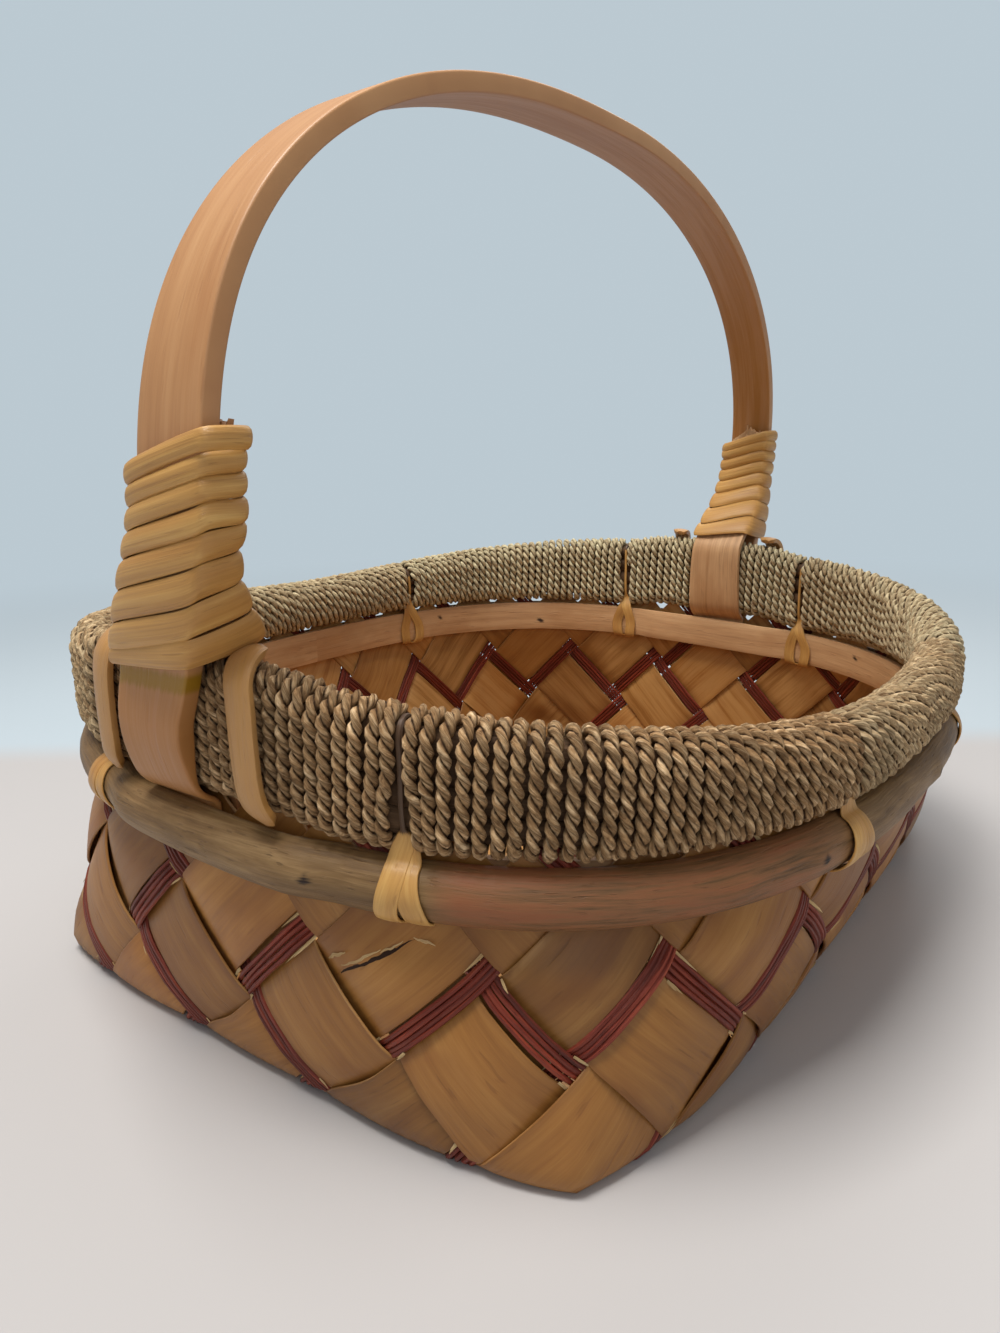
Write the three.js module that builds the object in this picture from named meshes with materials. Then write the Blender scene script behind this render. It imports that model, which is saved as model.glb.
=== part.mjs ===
// A decorative market basket: a chip-wood body plaited on the bias, its edge clamped
// between two hoops, a rim roll of rods wound with seagrass cord, and a bentwood handle.
// Millimetres, +Z up. The basket stands on z = 0. X runs across the basket, and the handle
// spans it along Y.
import * as THREE from "three";

// Driving sizes of the body
const bodyCentreY = -6; // the body sits a little off the middle of the handle's span
const baseHalfX = 154;
const baseHalfY = 209;
const baseSquareness = 7; // superellipse exponent, 2 is an ellipse
const rimHalfX = 179; // to the middle of the wall, at the hoops
const rimHalfY = 211;
const rimSquareness = 2.65;
const wallThickness = 3; // two crossing splints
const baseThickness = 3;
const foldRadius = 7; // where the splints turn up from the base
const wallBulge = 1.5;
const rimDrop = 8; // how far the rim sags at the +X end, and rises at the other

// Driving sizes of the plait. The sheet that makes the body is plaited on the slant, in squares
// that stand on their corners, and a cell is half the diagonal of a square.
const cell = 33.2;
const cellsAcross = 8; // of base, between the folds
const cellsAlong = 12;
const plaitTwist = 31; // from the outline's bend back to the corner of the flat base
const plaitHigh = 2.7; // a splint that lies on top, from the middle of the wall
const plaitLow = 1.1; // where four squares meet
const baseHigh = 3.7; // the same, inside the base, from the ground
const baseLow = 2.3;
const reliefFrom = 0.2; // cells above the fold
const reliefBelow = 3; // the wall evens out this much below the hoops
const reliefFade = 0.25; // cells over which it does so
const plaitNearHoop = 1.9;
const squareLong = 0.62; // of a square, before a splint dips under the next
const squareWide = 0.86;

// Driving sizes of the hoops
const hoopTop = 105;
const hoopHeight = 20;
const outerHoopDepth = 10;
const innerHoopDepth = 4.5;
const hoopEdge = 1.2; // rounding of the inner hoop's corners
const fitGap = 0.35; // between pieces that touch

// Driving sizes of the rim roll
const rollHalfWidth = 11.5; // outside the cord, at the middle of a quarter
const rollHalfWidthSwing = 1.5; // wider at the sides, narrower at the handle
const rollHalfHeight = 20.5;
const rollHalfHeightSwing = 5; // lower at the sides, taller at the handle
const rollGap = 1.2; // the light that shows between the roll and the hoops
const legLift = 2.8; // the roll rides higher where a foot passes under it
const rollSeat = 1.05; // between the roll and what lies on it
const cordHeight = 5; // how far the cord stands off the core
const cordSeat = 0.8; // between the cord and the core
const turnGap = 0.9; // between one turn and the next
const turnPitch = 8;
const windingBreakWidth = 7.4; // where the turns part to let a tie through

// Driving sizes of the handle
const handleTop = 362.5; // to the middle of the strap
const handleSpring = 205; // where the legs turn into the arch
const nearSpan = 234; // from the middle to a leg, at the spring
const farSpan = 237.5;
const nearSquareness = 2.5; // the near shoulder is the squarer one
const farSquareness = 2.06;
const footWidth = 34;
const nearLegWidth = 32;
const farLegWidth = 26;
const crownWidth = 25;
const strapThickness = 7;
const footThickness = 2;
const legBow = 2; // how far a leg bows out below the spring
const footClearance = 0.98; // on each side of a foot, where the rim curves
const footDepth = 16; // how far a foot reaches down behind its hoop
const nearFootX = -12;
const nearSpringX = 17.5;
const crownX = 27;
const farSpringX = 8.5;
const farFootX = 6;
const legLeanFrom = 128; // the heights between which a leg leans over to its spring
const legLeanTo = 214;
const splintFootWidth = 36;
const splintWidth = 33; // over the roll
const splintNarrowWidth = 25; // under the wrap's top turns
const splintSeat = 1.4; // between the bent splint and the strap
const splintThickness = 3.8;
const splintTipWidth = 8;
const splintTip = 6; // above the wrap

// Driving sizes of the skein wraps, ties and lashings
const wrapTurns = 7;
const wrapGap = 0.7;
const skeinThickness = 2.2;
const wrapSeat = 1.45; // clear of the strap and the splint, which bend inside the wrap
const wrapTop = 228;
const wrapRise = 4; // each turn climbs this much across the leg
const wrapTilt = 4; // and lies this much lower outside than inside
const tieAngles = [-68, -24.5, 24.5, 72, 107.5, 155.5, 204.5, 252].map(THREE.MathUtils.degToRad);
const tieWidth = 5.4; // between the turns of cord
const tieSplay = 12; // where it spreads over a hoop
const tieThickness = 1.6;
const tieSeat = 0.85; // clear of the curved hoops
const lashingWidth = 12;
const lashingThickness = 4;
const lashings = {
  near_left: [-100.5, -103],
  near_right: [-81.5, -82.5],
  far_left: [96.5, 99],
  far_right: [79.5, 80],
};

// Facets
const ringSteps = 72;

const colours = {
  splint: 0xa5784f,
  hoop: 0xa87c55,
  cord: 0x96805a,
  bentwood: 0xc08a63,
  skein: 0xc8a064,
};

const basket = new THREE.Group();

function add(name, geometry, colour, roughness = 0.6) {
  const material = new THREE.MeshStandardMaterial({ color: colour, roughness, metalness: 0 });
  const mesh = new THREE.Mesh(geometry, material);
  mesh.name = name;
  basket.add(mesh);
  return mesh;
}

// A closed skin over a row of sections, each the same number of points around. The row
// closes on itself, ends in a point, or gets a flat fan at both ends.
function skin(sections, rowCloses = false, endPoints = []) {
  const around = sections[0].length;
  const points = [...sections.flat(), ...endPoints];
  const index = [];
  const rows = rowCloses ? sections.length : sections.length - 1;
  for (let i = 0; i < rows; i++) {
    const a = i * around;
    const b = ((i + 1) % sections.length) * around;
    for (let k = 0; k < around; k++) {
      const next = (k + 1) % around;
      index.push(a + k, b + k, b + next);
      index.push(a + k, b + next, a + next);
    }
  }
  const last = (sections.length - 1) * around;
  const first = sections.length * around;
  if (endPoints.length) {
    for (let k = 0; k < around; k++) {
      const next = (k + 1) % around;
      index.push(first, k, next);
      index.push(first + 1, last + next, last + k);
    }
  } else if (!rowCloses) {
    for (let k = 1; k < around - 1; k++) {
      index.push(0, k, k + 1);
      index.push(last, last + k + 1, last + k);
    }
  }
  const positions = points.flatMap((p) => [p.x, p.y, p.z]);
  const geometry = new THREE.BufferGeometry();
  geometry.setAttribute("position", new THREE.Float32BufferAttribute(positions, 3));
  geometry.setIndex(index);
  return faceOut(geometry);
}

// Turns every face round if the skin encloses a negative volume.
function faceOut(geometry) {
  const p = geometry.getAttribute("position");
  const index = geometry.index.array;
  const [a, b, c] = [new THREE.Vector3(), new THREE.Vector3(), new THREE.Vector3()];
  let volume = 0;
  for (let i = 0; i < index.length; i += 3) {
    a.fromBufferAttribute(p, index[i]);
    b.fromBufferAttribute(p, index[i + 1]);
    c.fromBufferAttribute(p, index[i + 2]);
    volume += a.dot(b.cross(c));
  }
  if (volume < 0) {
    for (let i = 0; i < index.length; i += 3) {
      [index[i + 1], index[i + 2]] = [index[i + 2], index[i + 1]];
    }
  }
  return geometry;
}

// Where a superellipse lies in the direction of an angle.
function superellipse(halfX, halfY, exponent, angle) {
  const x = Math.abs(Math.cos(angle) / halfX) ** exponent;
  const y = Math.abs(Math.sin(angle) / halfY) ** exponent;
  const radius = (x + y) ** (-1 / exponent);
  return new THREE.Vector2(radius * Math.cos(angle), radius * Math.sin(angle));
}

function outwardNormal(halfX, halfY, exponent, angle) {
  const step = 1e-3;
  const before = superellipse(halfX, halfY, exponent, angle - step);
  const along = superellipse(halfX, halfY, exponent, angle + step).sub(before).normalize();
  return new THREE.Vector2(along.y, -along.x);
}

// A point of the rim: its direction, its distance out from the middle of the wall, and its
// height on the leaning rim.
function rimPoint(angle, outward, height) {
  const p = superellipse(rimHalfX, rimHalfY, rimSquareness, angle);
  const n = outwardNormal(rimHalfX, rimHalfY, rimSquareness, angle);
  const x = p.x + n.x * outward;
  const lean = (-rimDrop * p.x) / rimHalfX;
  return new THREE.Vector3(x, bodyCentreY + p.y + n.y * outward, height + lean);
}

const turn = 2 * Math.PI;
const ringAngles = Array.from({ length: ringSteps }, (_, i) => (i / ringSteps) * turn);

// 1 on a leg of the handle, falling to 0 a few fingers along the rim
const swellFrom = THREE.MathUtils.degToRad(10.5);
const swellTo = THREE.MathUtils.degToRad(16);
function legSwell(angle) {
  const away = Math.acos(Math.min(1, Math.abs(Math.sin(angle))));
  return 1 - THREE.MathUtils.smoothstep(away, swellFrom, swellTo);
}

// Length round an outline from direction 0, sampled once, to space things evenly along it
const outlineSamples = 1440;
function measureRound(halfX, halfY, exponent) {
  const lengths = [0];
  let before = superellipse(halfX, halfY, exponent, 0);
  for (let i = 1; i <= outlineSamples; i++) {
    const next = superellipse(halfX, halfY, exponent, (i / outlineSamples) * turn);
    lengths.push(lengths[i - 1] + before.distanceTo(next));
    before = next;
  }
  return lengths;
}

function lengthWhere(lengths, angle) {
  const wraps = Math.floor(angle / turn);
  const place = (angle / turn - wraps) * outlineSamples;
  const i = Math.min(outlineSamples - 1, Math.floor(place));
  const within = THREE.MathUtils.lerp(lengths[i], lengths[i + 1], place - i);
  return wraps * lengths[outlineSamples] + within;
}

function angleWhere(lengths, length) {
  const round = lengths[outlineSamples];
  const wraps = Math.floor(length / round);
  const rest = length - wraps * round;
  let low = 0;
  let high = outlineSamples;
  while (high - low > 1) {
    const middle = (low + high) >> 1;
    if (lengths[middle] <= rest) low = middle;
    else high = middle;
  }
  const share = (rest - lengths[low]) / (lengths[high] - lengths[low]);
  return ((low + share) / outlineSamples + wraps) * turn;
}

const rimLengths = measureRound(rimHalfX, rimHalfY, rimSquareness);

function lengthAt(angle) {
  return lengthWhere(rimLengths, angle);
}

function angleAt(length) {
  return angleWhere(rimLengths, length);
}

// Body: a tub that goes from the square base to the oval rim, upright between the hoops
const clampBottom = hoopTop - hoopHeight - 2;
const wallHalf = wallThickness / 2;

function bodySize(share) {
  const bulge = wallBulge * Math.sin(Math.PI * share);
  const halfX = THREE.MathUtils.lerp(baseHalfX, rimHalfX, share) + bulge;
  const halfY = THREE.MathUtils.lerp(baseHalfY, rimHalfY, share) + bulge;
  return [halfX, halfY, THREE.MathUtils.lerp(baseSquareness, rimSquareness, share ** 0.5)];
}

// The plait keeps to even lengths round the body, counted in cells from one corner of the
// base. That corner lies a little before the place where the outline faces 45 degrees.
const sheetCells = 2 * (cellsAcross + cellsAlong);
const bendPower = baseSquareness / (baseSquareness - 1);
const bendAngle = -Math.atan2(baseHalfY ** bendPower, baseHalfX ** bendPower);
const footLengths = measureRound(...bodySize(0));
const bendShare = lengthWhere(footLengths, bendAngle) / footLengths[outlineSamples];
const firstCorner = bendShare - plaitTwist / (sheetCells * cell);

const roundLengths = new Map();
function sheetPoint(cells, height, outward) {
  const share = Math.min(1, height / clampBottom);
  const size = bodySize(share);
  if (!roundLengths.has(share)) roundLengths.set(share, measureRound(...size));
  const lengths = roundLengths.get(share);
  const reach = (firstCorner + cells / sheetCells) * lengths[outlineSamples];
  const angle = angleWhere(lengths, reach);
  const p = superellipse(...size, angle);
  const n = outwardNormal(...size, angle);
  const lean = leanAt(p.x) * share;
  return new THREE.Vector3(p.x + n.x * outward, bodyCentreY + p.y + n.y * outward, height + lean);
}

// The base, in cells from one corner: a patch spanned between its four sides
const baseRight = cellsAcross - reliefFrom;
const baseBack = cellsAlong - reliefFrom;
function basePoint(u, v, height) {
  const edge = (cells) => {
    const p = sheetPoint(cells, 0, -foldRadius);
    return new THREE.Vector2(p.x, p.y);
  };
  const a = (u - reliefFrom) / (baseRight - reliefFrom);
  const b = (v - reliefFrom) / (baseBack - reliefFrom);
  const back = cellsAlong + cellsAcross;
  const sides = [
    [edge(-cellsAcross * (1 - a)), 1 - b],
    [edge(cellsAlong + cellsAcross * (1 - a)), b],
    [edge(back + cellsAlong * (1 - b)), 1 - a],
    [edge(cellsAlong * b), a],
    [edge(-cellsAcross), -(1 - a) * (1 - b)],
    [edge(0), -a * (1 - b)],
    [edge(cellsAlong), -a * b],
    [edge(back), -(1 - a) * b],
  ];
  const p = new THREE.Vector2();
  for (const [side, weight] of sides) p.addScaledVector(side, weight);
  return new THREE.Vector3(p.x, p.y, height);
}

// A point of the base's edge, by cells round the fold
function baseEdgePoint(cells) {
  const s = ((cells % sheetCells) + sheetCells) % sheetCells;
  const across = (u) => THREE.MathUtils.clamp(u, reliefFrom, baseRight);
  const along = (v) => THREE.MathUtils.clamp(v, reliefFrom, baseBack);
  const back = cellsAlong + cellsAcross;
  if (s < cellsAlong) return basePoint(baseRight, along(s), baseThickness);
  if (s < back) return basePoint(across(back - s), baseBack, baseThickness);
  if (s < back + cellsAlong) return basePoint(reliefFrom, along(back + cellsAlong - s), baseThickness);
  return basePoint(across(s - back - cellsAlong), reliefFrom, baseThickness);
}

// What is left of an outline inside a rectangle of the sheet
function clipped(outline, [left, low, right, high]) {
  const inside = [(p) => p[0] - left, (p) => p[1] - low, (p) => right - p[0], (p) => high - p[1]];
  return inside.reduce((points, depth) => {
    return points.flatMap((p, k) => {
      const next = points[(k + 1) % points.length];
      const [a, b] = [depth(p), depth(next)];
      const kept = a >= -1e-9 ? [p] : [];
      if ((a > 1e-9 && b < -1e-9) || (a < -1e-9 && b > 1e-9)) {
        const share = a / (a - b);
        kept.push([p[0] + (next[0] - p[0]) * share, p[1] + (next[1] - p[1]) * share]);
      }
      return kept;
    });
  }, outline);
}

// The squares of a plait, over a rectangle of the sheet: a raised middle, long across the
// splint that lies on top and short along it, with a slope down to each edge. Place gives a
// point of the sheet, raised or not, and slantAt the way of the splint on top.
function plaitFaces(addFace, area, columns, rows, place, slantAt) {
  for (const i of columns) {
    for (const j of rows) {
      if ((i + j) % 2 === 0) continue;
      const square = clipped([[i + 1, j], [i, j + 1], [i - 1, j], [i, j - 1]], area);
      if (square.length < 3) continue;
      const middle = [0, 1].map((k) => square.reduce((sum, p) => sum + p[k], 0) / square.length);
      const slant = slantAt(i, j);
      const raised = square.map((p) => {
        const [x, y] = [p[0] - middle[0], p[1] - middle[1]];
        const long = ((x + slant * y) / 2) * squareLong;
        const wide = ((x - slant * y) / 2) * squareWide;
        return [middle[0] + long + wide, middle[1] + slant * (long - wide)];
      });
      const foot = square.map((p) => place(...p, false));
      const face = raised.map((p) => place(...p, true));
      face.forEach((p, k) => {
        const next = (k + 1) % face.length;
        addFace(foot[k], foot[next], face[next], p);
      });
      addFace(...face);
    }
  }
}

function range(from, to) {
  return Array.from({ length: to - from + 1 }, (_, i) => from + i);
}

function makeBody() {
  const triangles = [];
  const addFace = (...corners) => {
    for (let k = 1; k < corners.length - 1; k++) {
      triangles.push([corners[0], corners[k], corners[k + 1]]);
    }
  };
  const foldRise = baseThickness / 2 + foldRadius * (1 - Math.PI / 4);
  const heightAt = (cells) => cells * cell + foldRise;
  const reliefTo = (clampBottom - reliefBelow - foldRise) / cell;
  const nearHoop = reliefTo - reliefFade;

  // wall, outside and inside
  for (const side of [1, -1]) {
    const onWall = (s, w, raised) => {
      const onEdge = Math.abs(w - reliefFrom) < 1e-6 || Math.abs(w - reliefTo) < 1e-6;
      const low = onEdge ? wallHalf : plaitLow;
      const high = w > nearHoop ? plaitNearHoop : plaitHigh;
      return sheetPoint(s, heightAt(w), side * (raised ? high : low));
    };
    const facing = (...corners) => addFace(...(side > 0 ? corners : corners.reverse()));
    const area = [-Infinity, reliefFrom, Infinity, reliefTo];
    const slantAt = (i, j) => side * (j % 2 ? -1 : 1);
    plaitFaces(facing, area, range(0, sheetCells - 1), range(0, 3), onWall, slantAt);
  }

  // inside of the base
  const onBase = (u, v, raised) => {
    const sides = [u - reliefFrom, baseRight - u, v - reliefFrom, baseBack - v];
    const onEdge = Math.min(...sides) < 1e-6;
    return basePoint(u, v, raised ? baseHigh : onEdge ? baseThickness : baseLow);
  };
  const area = [reliefFrom, reliefFrom, baseRight, baseBack];
  const baseSlant = (i, j) => (j % 2 ? -1 : 1);
  plaitFaces(addFace, area, range(0, cellsAcross), range(0, cellsAlong), onBase, baseSlant);

  // rings between them: each runs through the points where the edges of squares cross it
  const ringPoints = (offset, pointAt) => {
    const corners = range(0, sheetCells / 2 - 1).map((i) => 2 * i);
    return corners.flatMap((s) => [pointAt(s - offset), pointAt(s + offset)]);
  };
  const join = (rings) => {
    rings.slice(1).forEach((ring, row) => {
      ring.forEach((p, k) => {
        const next = (k + 1) % ring.length;
        addFace(rings[row][k], rings[row][next], ring[next], p);
      });
    });
  };
  const fold = (height, outward) => ringPoints(reliefFrom, (s) => sheetPoint(s, height, outward));
  const middle = new THREE.Vector3(0, bodyCentreY, 0);
  const underside = fold(0, -foldRadius * 0.75);
  underside.forEach((p, k) => addFace(middle, underside[(k + 1) % underside.length], p));
  const foot = heightAt(reliefFrom);
  const outside = [fold(foldRadius * 0.25, -foldRadius * 0.22), fold(foldRadius, wallHalf)];
  join([underside, ...outside, fold(foot, wallHalf)]);
  const inner = [fold(foot, -wallHalf), fold(foldRadius, -wallHalf - 1)];
  join([...inner, ringPoints(reliefFrom, baseEdgePoint)]);
  const top = hoopTop - fitGap;
  const outer = [clampRing(clampBottom, wallHalf), clampRing(top, wallHalf)];
  const clamp = [...outer, clampRing(top, -wallHalf), clampRing(clampBottom, -wallHalf)];
  const edge = (outward) => ringPoints(reliefTo - 2, (s) => sheetPoint(s, heightAt(reliefTo), outward));
  stitch(addFace, edge(wallHalf), clamp[0]);
  join(clamp);
  stitch(addFace, clamp[3], edge(-wallHalf));
  return weld(triangles);
}

function clampRing(height, outward) {
  return ringAngles.map((angle) => rimPoint(angle, outward, height));
}

// Faces between two rings round the body that have different numbers of points
function stitch(addFace, below, above) {
  const angleOf = (p) => Math.atan2(p.y - bodyCentreY, p.x);
  const fromFirst = (ring) => {
    const first = ring.findIndex((p, k) => angleOf(p) < angleOf(ring.at(k - 1)));
    return [...ring.slice(first), ...ring.slice(0, first)];
  };
  const rings = [fromFirst(below), fromFirst(above)];
  const at = [0, 0];
  const point = (side, k) => rings[side][k % rings[side].length];
  const next = (side) => {
    const k = at[side] + 1;
    if (k > rings[side].length) return Infinity;
    return angleOf(point(side, k)) + (k === rings[side].length ? turn : 0);
  };
  while (next(0) < Infinity || next(1) < Infinity) {
    const side = next(0) < next(1) ? 0 : 1;
    addFace(point(0, at[0]), point(side, at[side] + 1), point(1, at[1]));
    at[side]++;
  }
}

// One skin from loose triangles: corners in one place become one point
function weld(triangles) {
  const seen = new Map();
  const positions = [];
  const index = [];
  for (const corners of triangles) {
    const ids = corners.map((p) => {
      const key = [p.x, p.y, p.z].map((v) => Math.round(v * 1e4)).join();
      if (!seen.has(key)) {
        seen.set(key, seen.size);
        positions.push(p.x, p.y, p.z);
      }
      return seen.get(key);
    });
    if (new Set(ids).size === 3) index.push(...ids);
  }
  const geometry = new THREE.BufferGeometry();
  geometry.setAttribute("position", new THREE.Float32BufferAttribute(positions, 3));
  geometry.setIndex(index);
  return faceOut(geometry);
}

// Hoops: one half round outside the wall, one flat inside it
function hoopSection(profile, side) {
  return ringAngles.map((angle) => {
    const push = legSwell(angle) * (footThickness + 2 * footClearance - fitGap);
    return profile.map(([out, up]) => {
      const outward = side * (wallHalf + fitGap + push + out);
      return rimPoint(angle, outward, hoopTop - hoopHeight / 2 + up);
    });
  });
}

const hoopArc = [90, 62, 35, 0, -35, -62, -90].map(THREE.MathUtils.degToRad);

function makeOuterHoop() {
  const radius = hoopHeight / 2;
  const profile = hoopArc.map((a) => [outerHoopDepth * Math.cos(a), radius * Math.sin(a)]);
  return skin(hoopSection(profile, 1), true);
}

function makeInnerHoop() {
  const h = hoopHeight / 2;
  const d = innerHoopDepth;
  const profile = [[0, -h], [d - hoopEdge, -h], [d, -h + hoopEdge]];
  profile.push([d, h - hoopEdge], [d - hoopEdge, h], [0, h]);
  return skin(hoopSection(profile, -1), true);
}

// Rim roll: two bundles of thin rods, one on the other, squeezed by the cord round them
function coreHalfWidth(angle) {
  return rollHalfWidth + rollHalfWidthSwing * Math.cos(2 * angle) - cordHeight - cordSeat;
}

function coreHalfHeight(angle) {
  return rollHalfHeight - rollHalfHeightSwing * Math.cos(2 * angle) - cordHeight - cordSeat;
}

function rollHeight(angle) {
  const gap = rollGap + legLift * legSwell(angle);
  return hoopTop + gap + coreHalfHeight(angle) + cordSeat + cordHeight;
}

function makeCore(side) {
  const sections = ringAngles.map((angle) => {
    const w = coreHalfWidth(angle);
    const h = coreHalfHeight(angle);
    const seam = fitGap / 2;
    const profile = [[w, seam], [w, h - 0.6 * w], [0.4 * w, h]];
    profile.push([-0.4 * w, h], [-w, h - 0.6 * w], [-w, seam]);
    return profile.map(([out, up]) => rimPoint(angle, out, rollHeight(angle) + side * up));
  });
  return skin(sections, true);
}

// Around the core: corner k of 8, at a distance off its skin
const rollCorners = 8;
function rollPoint(angle, corner, off) {
  const a = ((corner + 0.5) / rollCorners) * turn;
  const w = coreHalfWidth(angle);
  const radius = (w + off) / Math.cos(Math.PI / rollCorners);
  const straight = Math.sign(Math.sin(a)) * (coreHalfHeight(angle) - w);
  return rimPoint(angle, radius * Math.cos(a), rollHeight(angle) + straight + radius * Math.sin(a));
}

// One run of the winding between two ties: an unbroken cord, seen as a ridge of three faces
function makeWinding(fromAngle, toAngle) {
  const half = (turnPitch - turnGap) / 2;
  const start = lengthAt(fromAngle) + windingBreakWidth / 2 + half;
  const end = lengthAt(toAngle) - windingBreakWidth / 2 - half;
  const turns = Math.floor((end - start) / turnPitch);
  const pitch = (end - start) / turns;
  const steps = turns * rollCorners;
  const sections = [];
  for (let i = 0; i <= steps; i++) {
    const along = start + (i / rollCorners) * pitch;
    sections.push([
      rollPoint(angleAt(along - half), i, cordSeat),
      rollPoint(angleAt(along + half), i, cordSeat),
      rollPoint(angleAt(along), i, cordSeat + cordHeight),
    ]);
  }
  leastWindingGap = Math.min(leastWindingGap, selfGap(sections, rollCorners));
  return skin(sections);
}

// The least distance between a wound piece's sections that lie about one turn apart,
// measured on points along the edges
function selfGap(sections, stepsPerTurn) {
  const shares = [0, 0.25, 0.5, 0.75, 1];
  const pointsOf = (section) =>
    section.flatMap((p, k) => shares.map((s) => p.clone().lerp(section[(k + 1) % section.length], s)));
  const rows = sections.map(pointsOf);
  let least = Infinity;
  rows.forEach((row, i) => {
    for (let j = i + stepsPerTurn - 1; j <= i + stepsPerTurn + 1 && j < rows.length; j++) {
      for (const p of row) {
        for (const q of rows[j]) least = Math.min(least, p.distanceTo(q));
      }
    }
  });
  return least;
}
let leastWindingGap = Infinity;

// Handle: a leg rises from its hoop, bows out past the roll and runs into the arch
const footZ = hoopTop - footDepth;

// The roll at a leg: its reach out from the middle of the wall, and the middles of the
// round parts of its section
const rollReach = rollHalfWidth - rollHalfWidthSwing;
const rollBottom = hoopTop + rollGap + legLift;
const rollLow = rollBottom + rollReach;
const rollTop = rollBottom + 2 * (rollHalfHeight + rollHalfHeightSwing);
const rollHigh = rollTop - rollReach;
const springShare = 0.62; // of the way from the crown to a foot

function leanAt(x) {
  return (-rimDrop * x) / rimHalfX;
}

// X of a leg's middle at a height
function legX(side, height) {
  const [footX, springX] = side < 0 ? [nearFootX, nearSpringX] : [farFootX, farSpringX];
  const rise = THREE.MathUtils.smoothstep(height, legLeanFrom, legLeanTo);
  return footX + (springX - footX) * rise;
}

function spanOf(side) {
  return side < 0 ? nearSpan : farSpan;
}

// The wrap's lowest turn clears the roll inside the leg
const wrapBottom = rollTop + rollSeat - wrapTilt / 2;
const wrapHeight = wrapTop - wrapBottom;

// A leg is thinned where its foot passes under the roll
function footShare(height) {
  return THREE.MathUtils.smoothstep(height, rollBottom, rollLow + 14);
}

// The strap (layer 1) passes outside the roll, the splint (layer -1) inside it
function legPath(side, layer) {
  const full = layer > 0 ? strapThickness : splintThickness;
  const atWall = wallHalf + footClearance + footThickness / 2;
  const rise = [[footZ, atWall], [hoopTop - 3, atWall], [hoopTop + 1, atWall + 0.1]];
  const roundRoll = (degrees, middle) => {
    const a = THREE.MathUtils.degToRad(degrees);
    const thickness = THREE.MathUtils.lerp(footThickness, full, footShare(middle));
    const reach = rollReach + rollSeat + thickness / 2;
    rise.push([middle + reach * Math.sin(a), reach * Math.cos(a)]);
  };
  for (const degrees of [-58, -38, -18]) roundRoll(degrees, rollLow);
  roundRoll(0, (rollLow + rollHigh) / 2);
  roundRoll(0, rollHigh);
  if (layer < 0) for (const degrees of [25, 50]) roundRoll(degrees, rollHigh);
  const points = rise.map(([z, out]) => {
    const x = legX(side, z);
    return new THREE.Vector3(x, bodyCentreY + side * (rimHalfY + layer * out), z + leanAt(x));
  });
  if (layer > 0) {
    const atRoll = rimHalfY + side * bodyCentreY + rollReach + rollSeat + full / 2;
    const middle = (rollTop + handleSpring) / 2;
    const bow = THREE.MathUtils.lerp(atRoll, spanOf(side), 0.5) + legBow;
    points.push(new THREE.Vector3(legX(side, middle), side * bow, middle));
    points.push(new THREE.Vector3(legX(side, handleSpring), side * spanOf(side), handleSpring));
  } else {
    for (const share of [0.44, 0.7, 0.94, 1 + splintTip / wrapHeight]) {
      const height = wrapBottom + share * wrapHeight;
      const strap = strapAt(side, height);
      const behind = (strapThickness + splintThickness) / 2 + splintSeat;
      points.push(new THREE.Vector3(strap.x, strap.y - side * behind, height));
    }
  }
  return new THREE.CatmullRomCurve3(points, false, "centripetal");
}

function sampleByHeight(path, height) {
  let low = 0;
  let high = 1;
  for (let i = 0; i < 24; i++) {
    const middle = (low + high) / 2;
    if (path.getPoint(middle).z < height) low = middle;
    else high = middle;
  }
  return path.getPoint((low + high) / 2);
}

const legStraps = { "-1": legPath(-1, 1), 1: legPath(1, 1) };

// The arch, from a spring at 0 to the crown at 1
function archPoint(side, up) {
  const squareness = side < 0 ? nearSquareness : farSquareness;
  const across = (1 - Math.min(1, up) ** squareness) ** (1 / squareness);
  const x = THREE.MathUtils.lerp(legX(side, handleSpring), crownX, up);
  const z = THREE.MathUtils.lerp(handleSpring, handleTop, up);
  return new THREE.Vector3(x, side * spanOf(side) * across, z);
}

function strapAt(side, height) {
  if (height <= handleSpring) return sampleByHeight(legStraps[side], height);
  return archPoint(side, (height - handleSpring) / (handleTop - handleSpring));
}

function splintAt(side, height) {
  return sampleByHeight(legSplints[side], height);
}

const legSplints = { "-1": legPath(-1, -1), 1: legPath(1, -1) };

function handlePoint(along) {
  // along runs from -1, the near foot, over 0, the crown, to 1, the far foot
  const side = Math.sign(along) || 1;
  const reach = Math.abs(along);
  if (reach > springShare) {
    return legStraps[side].getPoint((1 - reach) / (1 - springShare));
  }
  const a = (1 - reach / springShare) * (Math.PI / 2);
  const squareness = side < 0 ? nearSquareness : farSquareness;
  return archPoint(side, Math.sin(a) ** (2 / squareness));
}

function strapSection(centre, tangent, width, thickness) {
  const across = new THREE.Vector3(1, 0, 0);
  across.addScaledVector(tangent, -across.dot(tangent)).normalize();
  const out = new THREE.Vector3().crossVectors(tangent, across);
  const chamfer = thickness * 0.3;
  const w = width / 2;
  const t = thickness / 2;
  const corners = [[w, t - chamfer], [w - chamfer, t], [chamfer - w, t], [-w, t - chamfer]];
  corners.push([-w, chamfer - t], [chamfer - w, -t], [w - chamfer, -t], [w, chamfer - t]);
  return corners.map(([a, b]) => {
    return centre.clone().addScaledVector(across, a).addScaledVector(out, b);
  });
}

function strapWidth(side, height) {
  const leg = side < 0 ? nearLegWidth : farLegWidth;
  const low = THREE.MathUtils.smoothstep(height, rollHigh, handleSpring);
  const crown = THREE.MathUtils.smoothstep(height, handleSpring, handleTop);
  return THREE.MathUtils.lerp(THREE.MathUtils.lerp(footWidth, leg, low), crownWidth, crown);
}

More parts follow.
